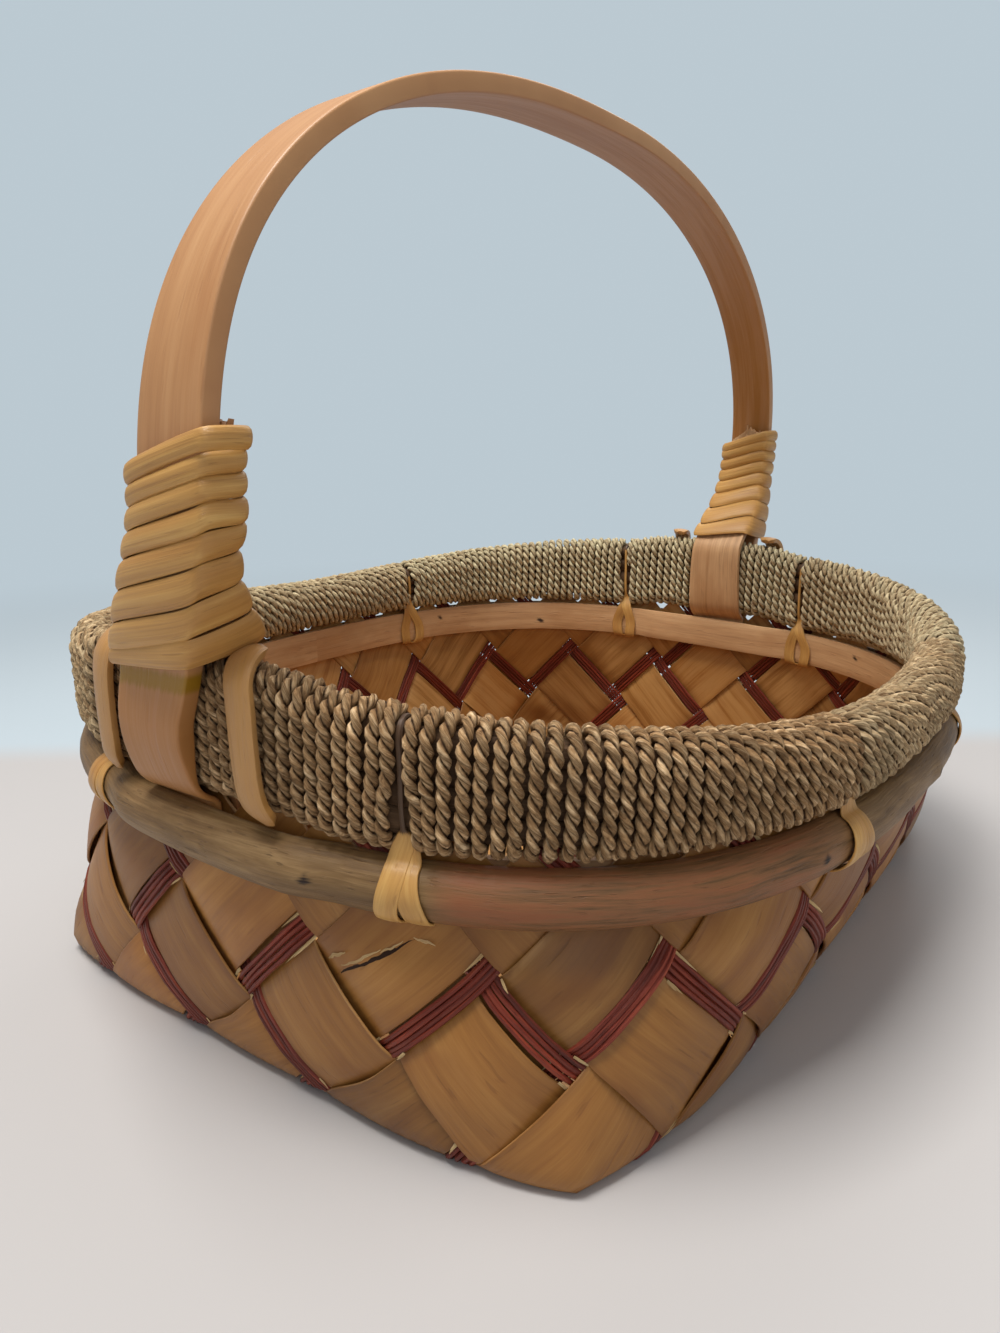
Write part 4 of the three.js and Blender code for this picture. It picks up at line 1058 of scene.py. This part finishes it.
def cordPath(index):
    ties = [math.radians(a) for a in roll["ties"]]
    after = (index + 1) % len(ties)
    start = lengthAt(ties[index]) + roll["bareAtTie"][index] / 2 + roll["cordRadius"]
    end = lengthAt(ties[after] + (turn if after == 0 else 0))
    end = end - roll["bareAtTie"][after] / 2 - roll["cordRadius"]
    turns = max(2, round((end - start) / roll["pitch"]))
    wander = np.random.default_rng(700 + index)
    stops = np.linspace(start, end, turns + 1)
    stops[1:-1] += wander.uniform(-0.32, 0.32, turns - 1)
    puff = wander.uniform(-0.25, 0.3, turns + 1)
    # a run starts and ends inside the basket, level beside its tie
    share = np.linspace(-0.45, turns + 0.45, int((turns + 0.9) * roll["stepsPerTurn"]) + 1)
    along = np.interp(share, np.arange(turns + 1), stops)
    w, h, _ = rollSize(angleAt(along))
    off = np.interp(share, np.arange(turns + 1), puff) - roll["cordRadius"]
    out, up, faceOut, faceUp = roundRoll(share, w + off, h + off)
    # low on the outside the turns part where a tie comes through
    low = (out > 0) * smooth(-up, -h * 0.15, h * 0.3) * (1 - smooth(-up, h * 0.75, h))
    first = roll["parting"][index] * np.exp(-((share / 1.1) ** 2))
    last = roll["parting"][after] * np.exp(-(((turns - share) / 1.1) ** 2))
    angle = angleAt(along + low * (first - last))
    height = rollSize(angle)[2]
    centre = rimPlace(angle, out, height + up)
    return centre, unit(rimPlace(angle, out + faceOut, height + up + faceUp) - centre)


def makeCord(index):
    centre, normal = cordPath(index)
    side = unit(np.cross(unit(np.gradient(centre, axis=0)), normal)) * roll["flattened"]
    run = runAlong(centre)
    around = np.arange(roll["strandSides"]) / roll["strandSides"] * turn
    offset = roll["cordRadius"] - roll["strandRadius"]
    plies = []
    for k in (0, 1):
        twist = -run / roll["lay"] * turn + k * math.pi + 0.35 * ripple(run, 60 + index, 90.0)
        middle = centre + (normal * np.cos(twist)[:, None] + side * np.sin(twist)[:, None]) * offset
        radius = roll["strandRadius"] * (1 + 0.07 * ripple(run, 30 + index + k, 25.0))
        radius = radius * np.clip(np.minimum(run, run[-1] - run) / 3.0 + 0.25, 0, 1)
        radius = radius[:, None]
        rings = ringsRound(middle, normal, side, around + twist[:, None], radius, radius)
        tone = 0.5 + 0.5 * ripple(run, 80 + index + 5 * k, 160.0)
        plies.append((rings, run, around / turn * 0.011 + 0.013 * k, tone))
    piece = tubePiece("cordRun%d" % (index + 1), plies)
    # paler runs: partly bleached cord, partly painted light on the far side of the rim
    setPaint(piece, "tintAndShading", roll["bleachedAndLit"][index])
    # painted shade: dark where the plies lie in each other's groove
    setPaint(piece, "markAndShade", np.tile(smooth(np.minimum(around, turn - around), 1.35, 2.3), 2 * len(run)))
    return piece


# Handle: strap, the splint bent in behind each leg, skein wraps. Pairs are near and far.
handle = {
    "top": 362.5,
    "spring": 205.0,
    "span": (234.0, 237.5),
    "squareness": (2.5, 2.06),
    "footX": (-12.0, 6.0),
    "springX": (17.5, 8.5),
    "crownX": 27.0,
    "leanFrom": 128.0,
    "leanTo": 214.0,
    "footWidth": 34.0,
    "legWidth": (32.0, 26.0),
    "crownWidth": 25.0,
    "thickness": 7.0,
    "footThickness": 2.0,
    "footZ": 89.0,
    "footAt": 2.48,  # from the middle of the wall to the face of a foot
    "legBow": 2.0,
    "rollSeat": 1.05,  # from the cord to what lies on it
    "splintThickness": 3.8,
    "splintWidths": (36.0, 33.0, 25.0),  # between the hoops, over the roll, under the wrap
    "splintSeat": 1.4,
    "splintFaceTop": 231,  # above it the splint is only its tip
    "tipShift": (11.5, 4.0),  # of the splint's torn tip, to the side
    "wrapTop": 228.0,
    "wrapTurns": 7,
    "wrapRise": (8.0, 3.0),  # across the leg, at the top turn and the foot
    "wrapTilt": (0.0, 4.0),
    "wrapSeat": 1.45,
    "wrapGap": 0.9,
    "wrapAxis": 231.0,  # how far out the middle of a wrapped leg is
    "wrapStrip": (13.0, 9.5),  # length from corner to corner and width, for the grain
    "skeinThickness": 2.0,
    "skeinCrown": 1.5,
    "knob": 1.8,  # where the near wrap's end is tucked in
    "stain": (152, 5, 0.85),  # under the near wrap: height, half its width, how dark
    # where each turn of the wrap ends, as shares of the way down
    "turnStops": [0, 0.118, 0.233, 0.355, 0.49, 0.64, 0.82, 1],
}
rollReach = roll["halfWidth"] - roll["halfWidthSwing"]
rollBottom = shape["hoopTop"] + roll["gap"] + roll["legLift"]
rollTop = rollBottom + 2 * (roll["halfHeight"] + roll["halfHeightSwing"])
rollLow, rollHigh = rollBottom + rollReach, rollTop - rollReach
wrapBottom = rollTop + handle["rollSeat"] - handle["wrapTilt"][1] / 2
wrapTall = handle["wrapTop"] - wrapBottom


def legX(end, height):
    lean = smooth(height, handle["leanFrom"], handle["leanTo"])
    return mix(handle["footX"][end], handle["springX"][end], lean)


def thicknessShares(full, height):  # a band is thinned where it goes between the hoops
    return mix(handle["footThickness"], full, smooth(height, rollBottom, rollLow + 14)) / full


def archPoint(end, up):
    q = handle["squareness"][end]
    across = (1 - np.minimum(1, up) ** q) ** (1 / q)
    x = mix(legX(end, handle["spring"]), handle["crownX"], up)
    y = (2 * end - 1) * handle["span"][end] * across
    return np.stack([x, y, mix(handle["spring"], handle["top"], up)], -1)


# Points up a leg: outside the roll for the strap (layer 1), inside it for the splint (-1)
def legPoints(end, layer):
    side = 2 * end - 1
    full = handle["thickness"] if layer > 0 else handle["splintThickness"]
    atWall = handle["footAt"] + handle["footThickness"] / 2
    rise = [(handle["footZ"], atWall), (102, atWall), (106, atWall + 0.1)]
    rounds = [(-58, rollLow), (-38, rollLow), (-18, rollLow), (0, (rollLow + rollHigh) / 2), (0, rollHigh)]
    rounds += [(25, rollHigh), (50, rollHigh)] if layer < 0 else []
    for degrees, middle in rounds:
        reach = rollReach + handle["rollSeat"] + full * thicknessShares(full, middle) / 2
        a = math.radians(degrees)
        rise.append((middle + reach * math.sin(a), reach * math.cos(a)))
    points = []
    for z, out in rise:
        x = float(legX(end, z))
        points.append((x, shape["centreY"] + side * (shape["rimHalfY"] + layer * out), z + leanAt(x)))
    if layer > 0:
        atRoll = shape["rimHalfY"] + side * shape["centreY"] + rollReach + handle["rollSeat"] + full / 2
        bow = mix(atRoll, handle["span"][end], 0.5) + handle["legBow"]
        for z, out in (((rollTop + handle["spring"]) / 2, bow), (handle["spring"], handle["span"][end])):
            points.append((float(legX(end, z)), side * out, z))
        return points
    behind = (handle["thickness"] + handle["splintThickness"]) / 2 + handle["splintSeat"]
    for share in (0.44, 0.7, 0.94, 1 + 11 / wrapTall):
        height = wrapBottom + share * wrapTall
        strap = strapAt(end, height)
        points.append((strap[0], strap[1] - side * behind, height))
    return points


def atHeight(line, height):
    return columnsAt(line, height, line[:, 2])


def strapAt(end, height):
    if height <= handle["spring"]:
        return atHeight(strapLines[end], height)
    return archPoint(end, (height - handle["spring"]) / (handle["top"] - handle["spring"]))


strapLines = [evenly(legPoints(end, 1), 400)[0] for end in (0, 1)]
splintLines = [evenly(legPoints(end, -1), 400)[0] for end in (0, 1)]
# the strap's line with the start of the arch, for the wraps
legLines = [np.vstack([strapLines[e][::4], [strapAt(e, z) for z in range(206, 246, 2)]]) for e in (0, 1)]


def strapWidthAt(end, height):
    leg = mix(handle["footWidth"], handle["legWidth"][end], smooth(height, rollHigh, handle["spring"]))
    return mix(leg, handle["crownWidth"], smooth(height, handle["spring"], handle["top"]))


def splintWidthAt(height):
    foot, wide, narrow = handle["splintWidths"]
    wide = mix(foot, wide, smooth(height, shape["hoopTop"], rollTop))
    return mix(wide, narrow, smooth(height, rollTop, handle["wrapTop"] - 12))


def bandFrame(line):
    tangent = unit(np.gradient(line, axis=0))
    return unit(np.array([1.0, 0, 0]) - tangent * tangent[:, :1])


bandColumns = 8


def makeBand(name, steps, bend, length, width, thickness, edge, segments, shares):
    piece = bentStrip(name, steps, bandColumns, bend, length, width)
    flat = np.tile(np.linspace(0, 1, steps + 1), bandColumns + 1)
    thicken(piece, thickness, edge, segments, readRows(shares[:, None], flat)[:, 0])
    return piece


def makeStrap():
    a = np.linspace(0, math.pi / 2, 60)[1:]
    near, far = (archPoint(end, np.sin(a) ** (2 / handle["squareness"][end])) for end in (0, 1))
    points = np.vstack([strapLines[0][::8], near, far[::-1][1:], strapLines[1][::-8]])
    steps = 329
    line, length = evenly(points, steps + 1)
    across = bandFrame(line)
    width = np.where(line[:, 1] > 0, strapWidthAt(1, line[:, 2]), strapWidthAt(0, line[:, 2]))
    width = width * (1 + 0.012 * ripple(np.linspace(0, length, len(line)), 21, 70.0))

    def bend(along, side):
        reach = side * readRows(width[:, None], along)[:, 0]
        return readRows(line, along) + readRows(across, along) * reach[:, None]

    shares = thicknessShares(handle["thickness"], line[:, 2])
    piece = makeBand("strapWood", steps, bend, length, 30, handle["thickness"], 1.8, 3, shares)
    # its inner face and the underside of the arch are darker with painted shade; the near foot is darker,
    # and the wrap has stained the near foot
    spots, facing = readPoints(piece)
    inward = (facing * unit(np.array([0, 0, 180.0]) - spots)).sum(1)
    height = spots[:, 2]
    under = smooth(inward, 0.2, 0.8) * smooth(height, 170, 230)
    foot = 0.75 * (1 - smooth(height, 150, 168)) * (spots[:, 1] < 0)
    setPaint(piece, "tintAndShading", np.maximum(under, foot))
    at, wide, dark = handle["stain"]
    setPaint(piece, "markAndShade", np.exp(-(((height - at) / wide) ** 2)) * (spots[:, 1] < -225) * dark)
    return piece


def makeLegSplint(end):
    steps = 120
    line, length = evenly(splintLines[end][::8], steps)
    across = bandFrame(line)
    tip = smooth(line[:, 2], handle["wrapTop"] - 4, handle["wrapTop"] + 6)
    shares = thicknessShares(handle["splintThickness"], line[:, 2]) * (1 - 0.45 * tip)
    width = mix(splintWidthAt(line[:, 2]), 9.0, tip)
    rag = np.random.default_rng(33 + end).uniform(0, 0.03, bandColumns + 1)
    columns = np.linspace(0, 1, bandColumns + 1)

    def bend(along, side):
        at = along - np.interp(side + 0.5, columns, rag) * smooth(along, 0.85, 1)
        reach = side * readRows(width[:, None], along)[:, 0]
        reach = reach + handle["tipShift"][end] * smooth(along, 0.86, 1)
        return readRows(line, at) + readRows(across, at) * reach[:, None]

    name = "legSplint" + ("Near", "Far")[end]
    return makeBand(name, steps, bend, length, 33, handle["splintThickness"], 0.9, 2, shares)


def legFace(line, end, height, thickness):
    below, above = atHeight(line, height - 3), atHeight(line, height + 3)
    slope = (above[1] - below[1]) / (above[2] - below[2])
    return (2 * end - 1) * atHeight(line, height)[1] + thickness / 2 * math.hypot(1, slope)


# A corner of a skein wrap, at a height of its middle: eight to a turn, two at each edge
def wrapPlace(end, corner, middle, off):
    line = legLines[end]
    half = 1 if corner % 8 < 4 else -1
    wayAcross, wayOut = ((0.5, 0.45), (0.45, 0.5), (-0.45, 0.5), (-0.5, 0.45))[corner % 4]
    down = np.clip((handle["wrapTop"] - middle) / wrapTall, 0, 1)
    tilt = mix(*handle["wrapTilt"], smooth(down, 0.3, 1))
    rise = mix(*handle["wrapRise"], smooth(down, 0.86, 1))
    height = middle + half * (rise * wayAcross - tilt * wayOut)
    clear = handle["wrapSeat"] + off
    outFace = legFace(line, end, height, handle["thickness"]) + clear
    low = min(height, handle["splintFaceTop"])
    inFace = legFace(splintLines[end], end, low, -handle["splintThickness"]) - clear
    halfDepth = (outFace - inFace) / 2
    above, below = atHeight(line, height + 3), atHeight(line, height - 3)
    width = max(float(strapWidthAt(end, height)), float(splintWidthAt(height)))
    halfWidth = width / 2 * math.hypot(1, (above[0] - below[0]) / 6) + clear
    cut = 2 + off / 2
    wide = (halfWidth, halfWidth - cut, cut - halfWidth, -halfWidth)[corner % 4]
    deep = (halfDepth - cut, halfDepth, halfDepth, halfDepth - cut)[corner % 4]
    x = atHeight(line, height)[0] + half * wide
    return np.array([x, (2 * end - 1) * ((outFace + inFace) / 2 + half * deep), height])


def makeWrap(end):
    turns = handle["wrapTurns"]
    corners = turns * 8
    pitch = wrapTall * turns / (turns + 1)
    wander = np.random.default_rng(51 + end)
    stops = np.interp(np.arange(turns + 1) / turns, np.linspace(0, 1, 8), handle["turnStops"])
    stops = np.append(stops, 1 + 1 / turns) * pitch
    low, high = [], []
    for i in range(-4, corners + 3):
        # the band's top edge follows the turn before, and its foot the turn after
        k = np.clip(i / 8, 0, turns)
        here, beyond = np.interp((k, k + 1), np.arange(turns + 2), stops)
        slack = wander.uniform(-0.25, 0.25)
        off = handle["skeinThickness"] / 2 + wander.uniform(-0.05, 0.25)
        if end == 0 and i in (-1, 0):
            off += handle["knob"]
        high.append(wrapPlace(end, i, handle["wrapTop"] - here - handle["wrapGap"] / 2 + slack, off))
        low.append(wrapPlace(end, i, handle["wrapTop"] - beyond + handle["wrapGap"] / 2 + slack, off))
    low, high = np.array(low), np.array(high)
    axisX = np.array([atHeight(legLines[end], z)[0] for z in (low[:, 2] + high[:, 2]) / 2])
    axisY = (2 * end - 1) * handle["wrapAxis"]

    def bend(along, side):
        place = along * (len(low) - 1)
        spot = mix(lineAt(low, place), lineAt(high, place), (side + 0.5)[:, None])
        axis = [readRows(axisX[:, None], along)[:, 0], np.full(len(spot), axisY), spot[:, 2]]
        crown = handle["skeinCrown"] * (np.sqrt(np.maximum(0, 1 - 4 * side**2)) - 0.5)
        return spot + unit(spot - np.stack(axis, -1)) * crown[:, None]

    name = "skeinWrap" + ("Near", "Far")[end]
    length, width = handle["wrapStrip"]
    piece = bentStrip(name, corners * 7, 6, bend, corners * length, width, 0.4)
    thicken(piece, handle["skeinThickness"] * 0.8, 0.45)
    return piece


# Ties and lashings: flat skein across the rim
skeins = {
    "tieInGroove": 1.5,  # its width between the turns of cord
    "tieWidth": 7.4,  # of one strip
    "tieSplay": 4.6,  # of each strip to its side at the foot
    "tieThickness": 1.1,
    "tieOverCore": 1.3,
    "lashWidth": 10.5,
    "lashThickness": 3.6,
    # directions in degrees of the top and the foot
    "lashings": {
        "near_left": (-100.5, -103), "near_right": (-84.0, -80.2),
        "far_left": (96.5, 99), "far_right": (79.5, 80),
    },
}


# A place on the roll's section, on its round top (half 1) or bottom (half -1)
def onRoll(angle, degrees, half, inset, off):
    w, h, height = rollSize(angle)
    w, h = w - inset, h - inset
    a = math.radians(degrees)
    return (w + off) * math.cos(a), float(height + half * (h - w) + (w + off) * math.sin(a))


def facingOut(rows, along, step):  # of a band on the section
    ahead = readRows(rows, along + step) - readRows(rows, along - step)
    size = np.hypot(ahead[:, 0], ahead[:, 1])
    return -ahead[:, 1] / size, ahead[:, 0] / size


def makeTie(index):
    angle = math.radians(roll["ties"][index])
    thickness = skeins["tieThickness"]
    middle = shape["hoopTop"] - shape["hoopHeight"] / 2
    wall, overCore = hoops["clamped"], skeins["tieOverCore"]
    radius = shape["hoopHeight"] / 2 + 0.6 + thickness / 2
    depth = hoops["outerDepth"] + 0.7 + thickness / 2
    # places on the section: out, up, how far it spreads, and how dark it is with painted shade where it
    # runs hidden over the rods inside the roll. Round the outer hoop, up between the turns of cord, over
    # the rods and down the inner hoop.
    path = [(wall + 0.5, middle - radius - 0.5, 0.6, 0)]
    for a in map(math.radians, (-72, -50, -25, 0, 25, 48, 66)):
        spread = mix(0.62, 1, smooth(-math.sin(a), -0.9, 0.8))
        path.append((wall + depth * math.cos(a), middle + radius * math.sin(a), spread, 0))
    core = [(-40, -1, 0.3, 0.3), (0, -1, 0, 1)]
    core += [(degrees, 1, 0, 1) for degrees in (0, 30, 60, 90, 120, 150)]
    core += [(180, 1, 0, 0), (180, -1, 0, 0), (218, -1, 0.2, 0)]
    for degrees, half, spread, dark in core:
        path.append((*onRoll(angle, degrees, half, roll["coreInset"], overCore), spread, dark))
    face = wall + hoops["innerDepth"] + 0.6 + thickness / 2
    path += [(-face, shape["hoopTop"] + 0.3, 0.6, 0), (-face, middle, 1.25, 0)]
    path += [(-face, middle - radius + 0.6, 1.1, 0), (-wall - 0.4, middle - radius - 0.8, 0.6, 0)]
    steps = 130
    rows, length = evenly(np.array(path), steps)
    wander = np.random.default_rng(61 + index)
    strips = []
    for k, lean in ((0, -1), (1, 1)):
        splay = lean * skeins["tieSplay"] * wander.uniform(0.7, 1.2)
        layer = k * thickness * 0.375

        def bend(along, side, splay=splay, layer=layer, seed=300 + 5 * index + lean):
            out, up, spread, _ = readRows(rows, along).T
            faceOut, faceUp = facingOut(rows, along, 0.004)
            width = mix(skeins["tieInGroove"], skeins["tieWidth"], smooth(spread, 0, 0.5))
            shift = splay * np.maximum(0, spread - 0.35) / 0.65
            reach = lengthAt(angle) + shift + side * width + 0.3 * ripple(along * length, seed, 12.0)
            bow = 0.25 * (1 - 4 * side**2) - layer
            return rimPlace(angleAt(reach), out - faceOut * bow, up - faceUp * bow)

        strip = bentStrip("strip", steps, 4, bend, length, 6, wander.uniform(0, 0.5))
        setPaint(strip, "markAndShade", np.tile(readRows(rows, np.linspace(0, 1, steps + 1))[:, 3], 5))
        thicken(strip, thickness * 0.7, 0.2, 1)
        strips.append(strip)
    return joinPieces("rimTie%d" % (index + 1), strips)


def makeLashing(name, angles, seed):
    top, bottom = map(math.radians, angles)
    places = [(112, 1), (98, 1), (80, 1), (55, 1), (30, 1), (0, 1), (0, -1), (-25, -1), (-46, -1)]
    thickness = skeins["lashThickness"]
    path = []
    for i, (degrees, half) in enumerate(places):
        angle = mix(top, bottom, i / (len(places) - 1))
        path.append((*onRoll(angle, degrees, half, 0, handle["rollSeat"] + thickness / 2), angle))
    steps = 110
    rows, length = evenly(np.array(path) * [1, 1, 100], steps)
    rows[:, 2] /= 100

    def bend(along, side):
        out, up, angle = readRows(rows, along).T
        end = np.clip(np.minimum(along, 1 - along) * length / 6, 0.06, 1)  # rounded ends
        width = skeins["lashWidth"] * np.sqrt(end * (2 - end))
        width = width * (1 + 0.05 * ripple(along * length, seed, 18.0))
        faceOut, faceUp = facingOut(rows, along, 0.005)
        bow = 0.7 * (1 - 4 * side**2)
        return rimPlace(angleAt(lengthAt(angle) + side * width), out + faceOut * bow, up + faceUp * bow)

    piece = bentStrip("lashing" + name.title().replace("_", ""), steps, 6, bend, length, 12, 0.45)
    thicken(piece, thickness * 0.75, 0.8)
    setPaint(piece, "tintAndShading", 0.8)
    return piece


plaitBody()
print("plait made")
finishPiece(makeOuterHoop(), "hoopWood", "outer_hoop")
finishPiece(makeInnerHoop(), "innerHoopLitWood", "inner_hoop")
finishPiece(makeRods("coreRodsUpper", 1, 71), "coreRod", "rim_core_upper")
finishPiece(makeRods("coreRodsLower", -1, 81), "coreRod", "rim_core_lower")
print("hoops and rods made")
for k in range(8):
    finishPiece(makeCord(k), "seagrass", "rim_winding_%d" % (k + 1), 60)
    finishPiece(makeTie(k), "skein", "tie_%d" % (k + 1))
print("cord and ties made")
finishPiece(makeStrap(), "bentWood", "handle_strap")
for k, end in enumerate(("near", "far")):
    finishPiece(makeLegSplint(k), ("bentWood", "innerHoopLitWood")[k], "splint_" + end)
    finishPiece(makeWrap(k), "skein", "wrap_" + end)
for k, (name, angles) in enumerate(skeins["lashings"].items()):
    finishPiece(makeLashing(name, angles, 90 + k), "skein", "lashing_" + name)
print("handle made")
